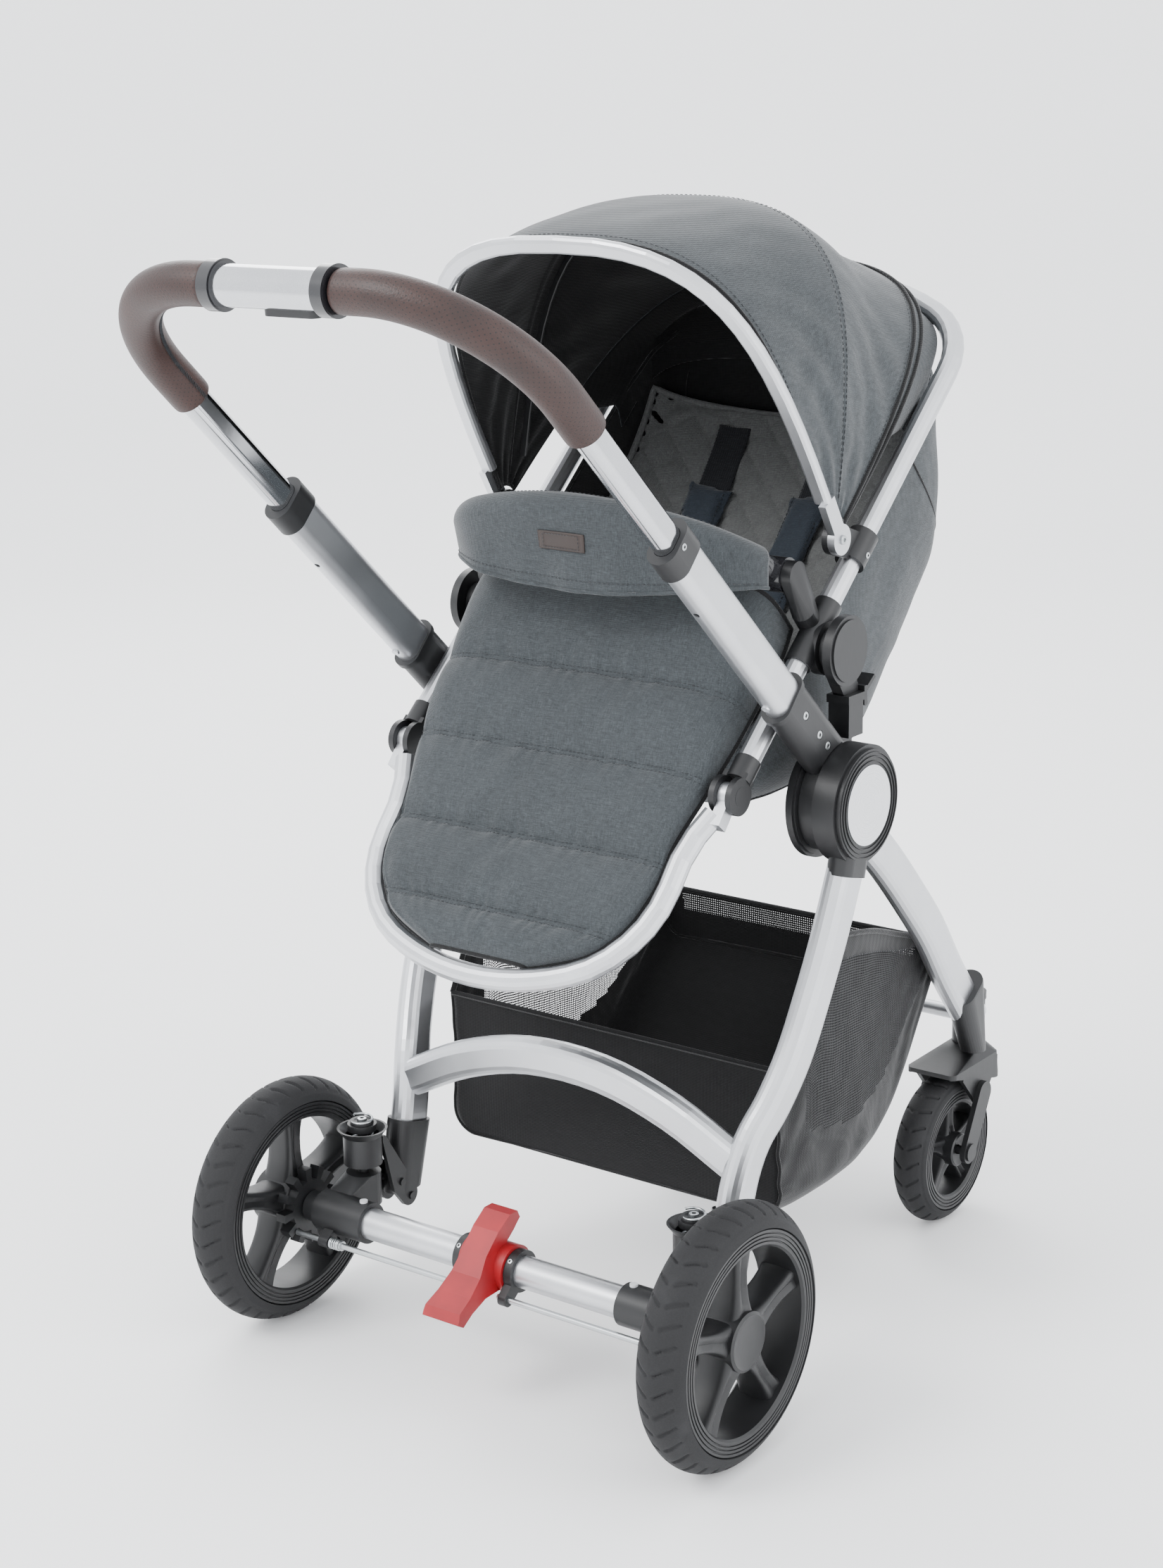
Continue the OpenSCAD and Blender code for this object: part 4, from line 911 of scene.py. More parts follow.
@dataclass
class SeatBag:
    """Deep sewn bag of the seat, hung between the tubes, with piped edges and panel seams."""

    half: float = 178.8
    rows: list[tuple[float, float, float]] = field(
        default_factory=lambda: [
            (-172, 150, 20), (-150, 158, 82), (-120, 168, 118), (-80, 178, 152), (-40, 178.8, 188), (5, 178.8, 212),
            (50, 178.8, 216), (100, 178.8, 210), (180, 178.8, 198), (245, 178.8, 182), (282, 176.8, 140),
            (312, 172.8, 96), (345, 168, 48), (372, 152, 16),
        ]
    )

    def place(self, s: Array, f: Array, grow: Array | float = 0.0) -> Array:
        """Points at places s along the tubes and f from 0 to 1 across, moved out by grow."""
        r = smooth_rows(self.rows, s)
        x, n = superellipse(r[:, 0], np.maximum(r[:, 1], 14), 0.42, f)
        k = 1 + np.asarray(grow) / 190
        return seat_point(x * k, s[:, None], 11 - n * k)

    def build(self) -> None:
        """Makes the bag, its corner seams, its piping and the stitched zip line."""
        s, f = np.linspace(-172, 372, 150), np.linspace(0, 1, 141)
        u, v = np.meshgrid((s + 172) / 544, f, indexing="ij")
        folds = np.maximum(0.8 + 1.6 * ripple(u, v * 2, 11) + 1.0 * ripple(u * 2.3, v, 12), 0)
        hollow = 2.5 * np.sin(2 * math.pi * np.abs(v - 0.5)) ** 2
        grid = self.place(s, f, (folds + hollow) * np.sin(math.pi * v) * np.sin(math.pi * u) ** 0.5)
        grid = face_away(grid, seat_point(0, 60, 0))
        bag = make_piece("seat_bag", [Surface(grid)], [GREY, LINING], merge=False)
        thicken(bag, 0.0016, lining=1)
        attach(bag, "seat")
        lines = []
        for c in (0.255, 0.745):
            lines.append(self.place(s[6:-6], np.array([c]), 1.2)[:, 0])
        for c in (0.002, 0.998):
            lines.append(self.place(s, np.array([c]), 0)[:, 0])
        for c in (-172, 372):
            lines.append(self.place(np.array([float(c)]), f, 0.4)[0])
        pipes = [tube(p, 0.0022, 8, ref=(1, 0, 0.3) if k < 4 else (0, 1, 0.3)) for k, p in enumerate(lines)]
        self.head_panel()
        for s0 in (-60.0, 250.0):
            pipes.append(tube(self.place(np.array([s0]), f[4:-4], 0.8)[0], 0.0012, 6, ref=(0, 1, 0.3)))
        piping = make_piece("seat_bag_piping", pipes, [LINING], "seat")
        rows = [stitches(self.place(s[4:-4], np.array([c]), 1.4)[:, 0], (1, 0, 0.3), 0.0055, 0.0036, 0.0004) for c in (0.03, 0.97, 0.245, 0.755)]
        sewn = make_piece("seat_bag_stitching", rows, [THREAD], "seat")
        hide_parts("seat_shell")


    def head_panel(self) -> None:
        """Closes the head end: a panel from the bag's end to the tube, and a collar from the tube to the hood.

        Rows go from the bag's end line through the tube's inner line to the hood's rear arch.
        """
        i = np.linspace(-1, 1, 121)
        turn = np.radians(90 * np.abs(i))
        tube_x = np.sign(i) * 176 * np.sin(turn) ** 0.6
        tube_s = 262 + 168 * np.cos(turn) ** 0.45
        bag_x = np.sign(i) * 176 * np.sin(turn) ** 0.6
        bag_s = 262 + 108 * np.cos(turn) ** 0.35
        hood = Canopy()
        arch = hood.arch(np.full(121, hood.back + 0.6), np.sign(i) * np.minimum(np.abs(i) * 0.86, 1), -1.4)
        rows = np.stack([seat_point(bag_x, bag_s - 8, -12), seat_point(bag_x, bag_s, 6), seat_point(tube_x, tube_s, 14), arch])
        t = np.linspace(0, 3, 40)
        k = np.minimum(t.astype(int), 2)
        grid = rows[k] + (t - k)[:, None, None] * (rows[k + 1] - rows[k])
        grid = face_away(grid, seat_point(0, 230, 60))
        panel = make_piece("head_panel", [Surface(grid)], [GREY, LINING], merge=False)
        thicken(panel, 0.0014, lining=1)
        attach(panel, "seat")


@dataclass
class Liner:
    """Concave padded liner with diamond quilting, and the harness that lies on it."""

    half: float = 175.6
    depth: float = 8
    rows: list[tuple[float, float, float]] = field(
        default_factory=lambda: [(-90, 163.6, 110), (-20, 171.6, 112), (70, 175.6, 105), (145, 175.6, 98), (225, 175.6, 87), (290, 167.6, 71), (318, 161.6, 60)]
    )

    def place(self, s: Array, x: Array, lift: Array | float) -> Array:
        """Points at places s along the tubes and x across in mm, lifted off the bag's side."""
        r = smooth_rows(self.rows, s)
        half, depth = r[:, 0][:, None], r[:, 1][:, None]
        k = np.clip(1 - (x / (half + 12)) ** 2, 0, 1)
        return seat_point(x, s[:, None], 11 - (depth - lift) * k**0.35)

    def quilt(self, s: Array, x: Array) -> Array:
        """Height of the quilting over its seams: the root of two crossing sine waves, as diamonds of 46 mm."""
        a, b = (x + s) / 46, (x - s) / 46
        return np.sqrt(np.abs(np.sin(math.pi * a) * np.sin(math.pi * b)))

    def pad(self, name: str, rows: Array, half: float, centre: float, low: float, high: float, finish: Finish, slot: str) -> bpy.types.Object:
        """A closed pad between two lifts, thin towards its rounded edges."""
        u, v = np.meshgrid(np.linspace(-1, 1, 61), np.linspace(-1, 1, 61), indexing="ij")
        s = np.linspace(rows[0], rows[1], 61)
        rim = ((1 - np.abs(u) ** 10) * (1 - np.abs(v) ** 10)) ** 0.5
        x = centre + half * v
        mid, thick = (low + high) / 2, (high - low) / 2
        top, bottom = (self.place(s, x, mid + k * thick * (0.88 + 0.12 * rim)) for k in (1, -1))
        edge = np.concatenate([top[:, :1], bottom[:, :1]], 1), np.concatenate([top[:, -1:], bottom[:, -1:]], 1)
        ends = np.stack([top[0], bottom[0]]), np.stack([top[-1], bottom[-1]])
        return make_piece(name, [Surface(g) for g in (top, bottom, *edge, *ends)], [finish])

    def build(self) -> None:
        """Makes the quilted liner, its bound edge, two shoulder pads and the webbing."""
        liner = self.pad("quilted_liner", (-88, 316), self.half - 9.5, 0, 2.5, self.depth, LINER, "liner_cloth")
        swell(liner, 0.004, 2.0, 0.003)
        count = len(liner.data.vertices)
        co = np.zeros(count * 3, np.float32)
        normal = np.zeros(count * 3, np.float32)
        liner.data.vertices.foreach_get("co", co)
        liner.data.vertices.foreach_get("normal", normal)
        co, normal = co.reshape(-1, 3).astype(float), normal.reshape(-1, 3)
        x, y, z = co.T * 1000
        c, k = math.cos(math.radians(42)), math.sin(math.radians(42))
        s = (y - 68) * c + (z - 713) * k
        faces_up = normal @ (seat_point(0, 0, 1) - seat_point(0, 0, 0)) / MM > 0.05
        fade = np.clip((164 - np.abs(x)) / 14, 0, 1) * np.clip((s + 84) / 12, 0, 1) * np.clip((312 - s) / 12, 0, 1)
        raise_ = (4.4 * self.quilt(s, x) - 2.0) * fade * faces_up
        liner.data.vertices.foreach_set("co", (co + normal * raise_[:, None] * MM).astype(np.float32).ravel())
        liner.data.update()
        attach(liner, "seat")
        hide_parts("seat_liner")
        t = np.linspace(-1, 1, 90)
        edge_s = np.concatenate([np.linspace(-86, 314, 90), np.full(88, 314.0), np.linspace(314, -86, 90), np.full(88, -86.0)])
        edge_x = np.concatenate([np.full(90, 165.0), 165 * t[::-1][1:-1], np.full(90, -165.0), 165 * t[1:-1]])
        loop = np.concatenate([self.place(np.array([q]), np.array([[w]]), 5.0)[0] for q, w in zip(edge_s, edge_x, strict=True)])
        binding = make_piece("liner_binding", [tube(loop, 0.0034, 10, ref=tuple(seat_point(0, 0, 1) - seat_point(0, 0, 0)), closed=True)], [LINER], "seat")
        pieces = [binding]
        for side, tag in ((-1, "l"), (1, "r")):
            pad = self.pad(f"shoulder_pad_{tag}", (72, 223), 26, side * 62, 15.4, 20.6, PADS, "black_webbing")
            swell(pad, 0.004, 4.0, 0.005)
            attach(pad, "seat")
            u = np.linspace(52, 292, 100)
            v = np.linspace(-19, 19, 13)
            web = self.place(u, side * 62 + v[None, :] + 0 * u[:, None], 14.2 + 0.25 * np.cos(v[None, :] * 0.9))
            strap = make_piece(f"harness_webbing_{tag}", [Surface(face_away(web, seat_point(0, 100, -300)))], [WEB], merge=False)
            thicken(strap, 0.0016)
            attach(strap, "seat")
            bar = self.place(np.linspace(40, 58, 14), side * 62 + np.zeros((14, 1)), 17.0)[:, 0]
            cross = self.place(np.array([64.0]), side * 62 + np.linspace(-25, 25, 24)[None, :], 16.7)[0]
            clip = [tube(bar, 0.011, 20, ref=(1, 0, 0), flat=0.32, power=4), tube(cross, 0.0026, 10, ref=(0, 1, 0))]
            pieces.append(make_piece(f"harness_clip_{tag}", clip, [NYLON], "seat"))
            rows = [stitches(self.place(np.linspace(78, 217, 80), side * 62 + np.full((80, 1), w), 22.6)[:, 0], (1, 0, 0.2), 0.005, 0.0034, 0.0004) for w in (-19.5, 19.5)]
            pieces.append(make_piece(f"shoulder_pad_stitching_{tag}", rows, [THREAD], "seat"))
            if side < 0:
                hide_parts("harness")


@dataclass
class Apron:
    """Padded footmuff cover from the footrest to the bumper bar, with sewn channels, piping and a bottom seam."""

    hinge: float = -186
    channels: tuple[float, ...] = (-104, -185, -270)
    rows: list[tuple[float, float, float]] = field(
        default_factory=lambda: [
            (-205, 56, 6), (-197, 79, 10), (-184, 110, 13), (-160, 136, 14), (-115, 155, 12), (-60, 158, 14),
            (0, 170, 24), (82, 176, 47), (126, 176, 58), (161, 175, 68), (190, 170, 78),
        ]
    )

    def place(self, r: Array, f: Array, grow: Array | float = 0.0) -> Array:
        """Points at places r from the footrest's hinge and f from 0 to 1 across, moved out by grow."""
        q = smooth_rows(self.rows, r)
        x, n = superellipse(q[:, 0], np.maximum(q[:, 1], 4), 0.45, f)
        edge = 17 + np.minimum(0, r)[:, None] * math.sin(math.radians(8))
        return seat_point(x, self.hinge + r[:, None], edge + n + np.asarray(grow) * np.sin(math.pi * f) ** 0.35)

    def puff(self, r: Array, f: Array) -> Array:
        """Padding between the sewn channels, with puckers that fade away from each seam."""
        s = self.hinge + r
        near = np.min([np.abs(s - c) for c in self.channels] + [np.abs(s + 348), np.abs(s - 4) + 6], axis=0)
        pucker = np.cos(2 * math.pi * f[None, :] * 24 + 2.5 * np.sin(f[None, :] * 40)) * np.exp(-near[:, None] / 11)
        body = 12.5 * (1 - np.exp(-near / 15))[:, None] - 4.2
        return body + 1.1 * pucker * (near[:, None] > 1) + 0.8 * ripple(r[:, None] / 400, f[None, :] * 2, 21)

    def build(self) -> None:
        """Makes the padded cover, its double stitching and piping."""
        r, f = np.linspace(-205, 190, 230), np.linspace(0, 1, 161)
        edge = (np.sin(math.pi * f) ** 0.25)[None, :] * np.clip((r + 205) / 12, 0, 1)[:, None] ** 0.5 * np.clip((190 - r) / 10, 0, 1)[:, None] ** 0.5
        outer = self.place(r, f, self.puff(r, f) * edge)
        inner = self.place(r, f, -3.0 * edge)
        grid = np.concatenate([outer, inner[:, ::-1]], 1)
        cover = make_piece("apron_cover", [Surface(grid, wrap_v=True, cap=True)], [GREY])
        rows = []
        for c in (*self.channels, -348):
            for k in (-2.2, 2.2):
                at = np.array([c + k - self.hinge])
                rows.append(stitches(self.place(at, f[6:-6], self.puff(at, f)[:, 6:-6] + 0.2)[0], (0, 1, 0.3), 0.0048, 0.0032, 0.00042))
        sewn = make_piece("apron_stitching", rows, [THREAD])
        lines = [self.place(r, np.array([c]), 0)[:, 0] for c in (0.0, 1.0)] + [self.place(np.array([v]), f, 0)[0] for v in (-205.0, 190.0)]
        pipes = [tube(p, 0.0024, 8, ref=(1, 0, 0.2) if k < 2 else (0, 1, 0.3)) for k, p in enumerate(lines)]
        piping = make_piece("apron_piping", pipes, [LINING])
        for obj in (cover, sewn, piping):
            tuple(seat_point(0, -166, 15))
            tuple(seat_point(0, -214, 15))
            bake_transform(obj)
        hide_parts("apron")


@dataclass
class Flap:
    """Cover flap over the bumper bar: an arc round the bar and a free fall, with a hem and a blank badge."""

    bar: float = 14
    drop: float = 74
    half: list[tuple[float, float, float]] = field(
        default_factory=lambda: [(0, -9, 185), (70, -9, 178), (130, -6, 158), (161, 6, 120), (163, 28, 71)]
    )

    def path(self) -> Array:
        """The bar's centre line in the seat's axes."""
        left = [(-x, s, n) for x, s, n in self.half[:0:-1]]
        return spline(left + self.half, 24)

    def place(self, v: Array, grow: float = 0.0) -> Array:
        """Points along the bar and at v from 0 (front of the bar) over it to 1 (lower edge)."""
        p = self.path()[18:-18]
        up = np.array([0, math.sin(math.radians(42)), math.cos(math.radians(42))])
        t = unit(np.gradient(p, axis=0))
        u = unit(up - (t @ up)[:, None] * t)
        out = np.cross(t, u)
        arc = np.minimum(v / 0.5, 1)
        fall = np.maximum(v - 0.5, 0) / 0.5
        a = np.radians(120 * (1 - arc))[:, None, None]
        r = self.bar + 3.4 + grow
        reach = self.drop * np.sqrt(np.maximum(0, 1 - np.abs(p[:, 0] / 172) ** 1.8))
        wave = 2.2 * np.sin(p[:, 0] / 21) * fall[:, None] + 1.2 * np.sin(p[:, 0] / 9 + 1) * fall[:, None] ** 2
        q = p[None] + r * (np.cos(a) * out[None] + np.sin(a) * u[None])
        q = q - (fall[:, None] * reach[None, :])[..., None] * (up + 0.12 * out)[None] + wave[..., None] * out[None]
        return seat_point(q[..., 0], q[..., 1], q[..., 2])

    def build(self) -> None:
        """Makes the flap with its stitched hem, and the badge with a sewn border."""
        grid = face_away(self.place(np.linspace(0, 1, 70)), seat_point(0, -20, 150))
        flap = make_piece("apron_flap_sheet", [Surface(grid)], [GREY, LINING], merge=False)
        thicken(flap, 0.0022, lining=1)
        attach(flap, "bumper")
        rim = np.vstack([self.place(np.array([1.0]))[0]])
        hem = [tube(rim, 0.0019, 8, ref=(0, 1, 0))]
        edge = make_piece("apron_flap_hem", hem, [GREY], "bumper")
        rows = [stitches(self.place(np.array([v]), 0.4)[0][4:-4], (0, 1, 0), 0.0052, 0.0034, 0.00045) for v in (0.06, 0.93)]
        sewn = make_piece("apron_flap_stitching", rows, [THREAD], "bumper")
        g = self.place(np.linspace(0.62, 0.74, 16), 1.6)
        mid = g.shape[1] // 2
        badge_grid = g[:, mid - 9 : mid + 10]
        badge = make_piece("blank_badge", [Surface(face_away(badge_grid, seat_point(0, -20, 150)))], [PATCH], merge=False)
        thicken(badge, 0.0014)
        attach(badge, "bumper")
        loop = np.vstack([badge_grid[2, 2:-2], badge_grid[2:-2, -3], badge_grid[-3, 2:-2][::-1], badge_grid[2:-2, 2][::-1]])
        sew = make_piece("badge_stitching", [stitches(loop + (0, -0.0009, 0), (0, 1, 0.1), 0.0036, 0.0024, 0.0003)], [THREAD], "bumper")
        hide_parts("apron_flap")


@dataclass
class Basket:
    """Shopping basket: a cloth floor and rear panel, netted sides and front with a bound rim."""

    low: list[tuple[float, float]] = field(
        default_factory=lambda: [(-8, 154), (20, 150), (52, 148), (110, 148), (162, 150), (215, 160), (244, 174), (280, 210), (301, 236), (342, 284)]
    )
    rim: list[tuple[float, float]] = field(default_factory=lambda: [(-8, 307), (25, 372), (53, 420), (100, 416), (168, 402), (250, 374), (342, 341)])
    wide: list[tuple[float, float]] = field(default_factory=lambda: [(-8, 205), (140, 201), (242, 185.5), (318, 179), (342, 176.5)])

    def section(self, y: Array, v: Array) -> Array:
        """Points of the U-shaped loft at places y, with v from 0 at one rim over the floor to 1 at the other.

        Side walls bow out in the middle, and the floor's corners are arcs of 26 mm.
        """
        lo, hi, w = (smooth_rows(t, y)[:, 0][:, None] for t in (self.low, self.rim, self.wide))
        r = 26.0
        wall, arc = 0.34, 0.08
        k = np.minimum(v, 1 - v)[None, :]
        side = np.where(v < 0.5, -1.0, 1.0)[None, :]
        a = np.clip((k - wall) / arc, 0, 1) * math.pi / 2
        on_wall = np.clip(k / wall, 0, 1)
        floor = np.clip((k - wall - arc) / (0.5 - wall - arc), 0, 1)
        x = w - r * (1 - np.cos(a)) - floor * (w - r)
        z = hi + (lo + r - hi) * on_wall - r * np.sin(a)
        bow = -2.5 * np.sin(math.pi * on_wall) * (k < wall)
        sag = 3.0 * np.sin(math.pi * np.clip(floor, 0, 1) / 2)
        fold = 1.4 * ripple((y[:, None] + 8) / 350, k * 2 + side * 0.2, 31) * (on_wall > 0.08)
        return np.stack(np.broadcast_arrays(side * (x + bow + fold * (k < wall)), y[:, None], z + sag + fold * 0.4 * (k >= wall)), -1) * MM

    def build(self) -> None:
        """Makes the loft, the rear and front panels, the rim binding and the seams."""
        y = np.linspace(-8, 342, 100)
        v = np.concatenate([np.linspace(0, 0.34, 40), np.linspace(0.35, 0.42, 9), np.linspace(0.43, 0.57, 31), np.linspace(0.58, 0.65, 9), np.linspace(0.66, 1, 40)])
        grid = self.section(y, v)
        k = np.minimum(v, 1 - v)
        uv = np.stack(np.meshgrid(y * MM, np.cumsum(np.r_[0, np.linalg.norm(np.diff(grid[50], axis=0), axis=1)]), indexing="ij"), -1)
        ym, km = np.meshgrid((y[1:] + y[:-1]) / 2, (k[1:] + k[:-1]) / 2, indexing="ij")
        low_edge = 0.235 + 0.05 * np.sin((ym + 8) / 350 * math.pi * 1.2)
        net = (km > 0.035) & (km < low_edge) & (ym > 42) & (ym < 332)
        body = make_piece("basket_bag", [Surface(grid, finish=np.where(net, 1, 0), uv=uv)], [LINING, NET], merge=False)
        lo, hi = self.section(np.array([-8.0]), v)[0], self.section(np.array([342.0]), v)[0]
        pieces = []
        for name, rimmed, bow in (("basket_rear_panel", lo, -1.5), ("basket_front_panel", hi, 1.5)):
            left, right = rimmed[: len(v) // 2 + 1], rimmed[len(v) // 2 :][::-1]
            top = np.linspace(0, 1, 60)[None, :, None]
            panel = left[:, None] + (right - left)[:, None] * top
            depth = np.sin(math.pi * top[..., 0]) * np.sin(math.pi * np.linspace(0, 1, len(left)))[:, None]
            panel[..., 1] += depth * bow * MM
            q = np.stack([panel[..., 0], panel[..., 2]], -1)
            inner = np.zeros((panel.shape[0] - 1, panel.shape[1] - 1), int)
            if "front" in name:
                inner[6:-34, 4:-4] = 1
            obj = make_piece(name, [Surface(panel, finish=inner, uv=q)], [LINING, NET], merge=False)
            thicken(obj, 0.0012, offset=0)
            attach(obj, "front_frame")
            pieces.append(obj)
        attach(body, "front_frame")
        lines = [np.vstack([grid[:, 0]]), np.vstack([grid[:, -1]])]
        for end in (lo, hi):
            lines.append(np.linspace(end[0], end[-1], 60))
        for end in (lo, hi):
            lines.append(end)
        pipes = [tube(p, 0.003 if j < 4 else 0.002, 8, ref=(1, 0, 0) if j < 2 else (0, 1, 0)) for j, p in enumerate(lines)]
        hem = make_piece("basket_hem", pipes, [LINING], "front_frame")
        rows = [stitches(grid[:, c] + (np.sign(grid[:, c, :1]) * 0.0012) * (1, 0, 0), (1, 0, 0), 0.006, 0.004, 0.0005) for c in (4, -5)]
        sewn = make_piece("basket_stitching", rows, [THREAD], "front_frame")
        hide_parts("basket")
        for piece in (body, *pieces, hem, sewn):
            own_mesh(piece)


# ---------------------------------------------------------------- wheels and running gear


@dataclass
class Wheel:
    """Wheel with a foam tyre with chevron sipes, a grooved rim, five dog-bone spokes and a dished hub.

    Attributes:
        name: Which wheel.
        centre: Centre in mm.
        radius: Outer radius of the tyre in mm.
        width: Width of the tyre in mm.
        share: Rim radius over tyre radius.
        out: Direction of the outer face along X.
        hub: Half length of the hub in mm.
        body: The body that it rides on.
        bore: Radius of the hub's bore in mm.
        ring: Place of the brake ring's inner face from the centre, or None.
    """

    name: str
    centre: tuple[float, float, float]
    radius: float
    width: float
    share: float
    out: int
    hub: float
    body: str
    bore: float = 5.6
    ring: float | None = None

    def tyre(self) -> None:
        """Crowned tread whose radius drops by 1.8 mm in V-shaped sipes, closed by the bead."""
        r, w, bead = self.radius, self.width, self.radius * self.share
        k = 0.62 * w
        edge = 0.86 * math.sqrt(max(0.0, k**2 - (bead - r + k) ** 2))
        edge = min(edge, w / 2 - 0.6)
        z = np.concatenate([-edge * np.cos(np.linspace(0, math.pi, 41))])
        crown = r - k + np.sqrt(np.maximum(0, k**2 - (z / 0.86) ** 2))
        a = np.linspace(0, 2 * math.pi, 640, endpoint=False)
        count = round(2 * math.pi * r / 21)
        phase = (a[None, :] * count / (2 * math.pi) + np.abs(z[:, None]) / 34) % 1
        cut = (np.abs(phase - 0.5) < 0.075) & (np.abs(z[:, None]) < w * 0.36) & (np.abs(z[:, None]) > w * 0.06)
        line = np.abs(np.abs(z[:, None]) - w * 0.40) < 0.8
        rad = crown[:, None] - 1.8 * cut - 0.7 * line
        rad = np.vstack([np.full((1, 640), bead), rad, np.full((1, 640), bead)])
        zz = np.r_[z[0] + 1, z, z[-1] - 1][:, None] + 0 * a
        pts = np.stack([zz, rad * np.cos(a), rad * np.sin(a)], -1) + np.asarray(self.centre)
        tag = self.body[-1]
        end = "rear" if "rear" in self.body else "front"
        obj = make_piece(f"{self.name}_tyre", [Surface(pts * MM, wrap_u=True, wrap_v=True)], [TYRE], self.body, sharp=60)
        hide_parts(f"{end}_tyre_{tag}")

    def spoke(self, turn: float) -> Surface:
        """A bar from the hub to the rim: wide at both ends, slim and thinner in the middle."""
        rim = self.radius * self.share
        u = np.linspace(0, 1, 26)
        reach = rim * 0.2 + u * (rim * 0.8 - 7)
        half = rim * (0.088 + 0.075 * np.abs(2 * u - 1) ** 2.4)
        deep = (self.width / 2 - 7) * (1 - 0.16 * np.sin(math.pi * u))
        a = np.linspace(0, 2 * math.pi, 28, endpoint=False)
        cx = np.sign(np.cos(a)) * np.abs(np.cos(a)) ** 0.45
        cy = np.sign(np.sin(a)) * np.abs(np.sin(a)) ** 0.45
        x = deep[:, None] * cx
        t = half[:, None] * cy
        pocket = 3.4 * np.exp(-((t / (half[:, None] * 0.42)) ** 4)) * (np.sin(math.pi * u) ** 0.4)[:, None] * (np.abs(cx) > 0.9)
        x = x - np.sign(x) * pocket
        y = reach[:, None] * math.cos(turn) - t * math.sin(turn)
        z = reach[:, None] * math.sin(turn) + t * math.cos(turn)
        pts = np.stack([x, y, z], -1) + np.asarray(self.centre)
        return Surface(pts * MM, wrap_v=True, cap=True)

    def rim(self) -> None:
        """Grooved ring, spokes, hub with a shallow dish, and the toothed brake ring."""
        rim, h = self.radius * self.share - 0.2, self.width / 2 - 1.5
        groove = []
        for k in range(3):
            q = rim - 3.5 - k * 3.6
            groove += [(q, h - 0.2), (q - 0.4, h - 1.4), (q - 1.2, h - 1.4), (q - 1.6, h - 0.2)]
        face = [(rim, h - 1.6), (rim - 1.2, h), *groove, (rim - 15, h - 0.6), (rim - 17, h - 3), (rim - 17.2, h - 9)]
        back = [(r, -x) for r, x in face[::-1]]
        ring = turned(face + back, self.centre, 160, loop=True)
        hub_r = rim * 0.27
        dish = [(0.0 if self.ring is not None else self.bore, self.hub - 3.2), (hub_r * 0.5, self.hub - 3.0), (hub_r * 0.78, self.hub - 1.6), (hub_r * 0.9, self.hub), (hub_r, self.hub - 1.5)]
        rest = [(hub_r, 1 - self.hub), (hub_r - 1.5, -self.hub), (self.bore, -self.hub), (self.bore, self.hub - 6 if self.ring is not None else self.hub - 3.2)]
        profile = [(r, x * self.out) for r, x in dish + rest]
        if self.ring is not None:
            profile.append((0.0, (self.hub - 6) * self.out))
        hub = turned(profile, self.centre, 72, loop=self.ring is None)
        surfaces = [ring, hub] + [self.spoke(math.pi / 2 - math.radians(72 * k)) for k in range(5)]
        if self.ring is not None:
            a = np.linspace(0, 2 * math.pi, 480, endpoint=False)
            start = math.atan2(-23.5, -21.0)
            slot = (((a - start) * 12 / (2 * math.pi) + 0.5) % 1 - 0.5) * (2 * math.pi / 12)
            outer = np.where(np.abs(slot) < 0.145, 27.0, 40.0)
            x0, x1 = self.ring * self.out, (self.ring + 12) * self.out
            rows = [(5.6, x0), (None, x0), (None, x1), (5.6, x1)]
            pts = np.stack([np.stack([np.full(480, x), (outer if r is None else r) * np.cos(a), (outer if r is None else r) * np.sin(a)], -1) for r, x in rows])
            surfaces.append(Surface((pts + np.asarray(self.centre)) * MM, wrap_u=True, wrap_v=True))
            surfaces.append(turned([(5.6, (self.ring + 11) * self.out), (14, (self.ring + 11) * self.out), (14, (1 - self.hub) * self.out), (5.6, (1 - self.hub) * self.out)], self.centre, 48, loop=True))
        end = "rear" if "rear" in self.body else "front"
        obj = make_piece(f"{self.name}_rim", surfaces, [NYLON], self.body, sharp=35)
        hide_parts(f"{end}_rim_{self.body[-1]}")


@dataclass
class Springs:
    """Coil springs of the rear suspension and of the brake rod."""

    def helix(self, centre: Array, axis: int, length: float, radius: float, turns: float) -> Array:
        """A coil along Z (axis 2) or X (axis 0), with its last turns closed up at both ends."""
        u = np.linspace(0, 1, int(turns * 26))
        lead = u - 0.05 * np.sin(2 * math.pi * u)
        a = 2 * math.pi * turns * u
        ring = [radius * np.cos(a), radius * np.sin(a)]
        order = [*ring, lead * length] if axis == 2 else [lead * length, *ring]
        return (np.stack(order, -1) + centre) * MM

    def build(self) -> None:
        """Makes the springs and attaches them to their bodies."""
        lo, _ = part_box("suspension_springs")
        coils = [tube(self.helix(np.array([x, -158, lo.z * 1000 + 1.5]), 2, 42, 10.6, 5.5), 0.0014, 8) for x in (-205, 205)]
        obj = make_piece("suspension_coils", coils, [ZINC], "rear_frame")
        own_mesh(obj)
        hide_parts("suspension_springs")
        low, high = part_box("brake_spring")
        length = (high.x - low.x) * 1000 - 1.2
        centre = np.array([low.x * 1000 + 0.6, (low.y + high.y) * 500, (low.z + high.z) * 500])
        obj = make_piece("brake_return_coil", [tube(self.helix(centre, 0, length, 5.0, 6), 0.00075, 8, ref=(1, 0, 0))], [ZINC], "rear_axle")
        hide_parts("brake_spring")


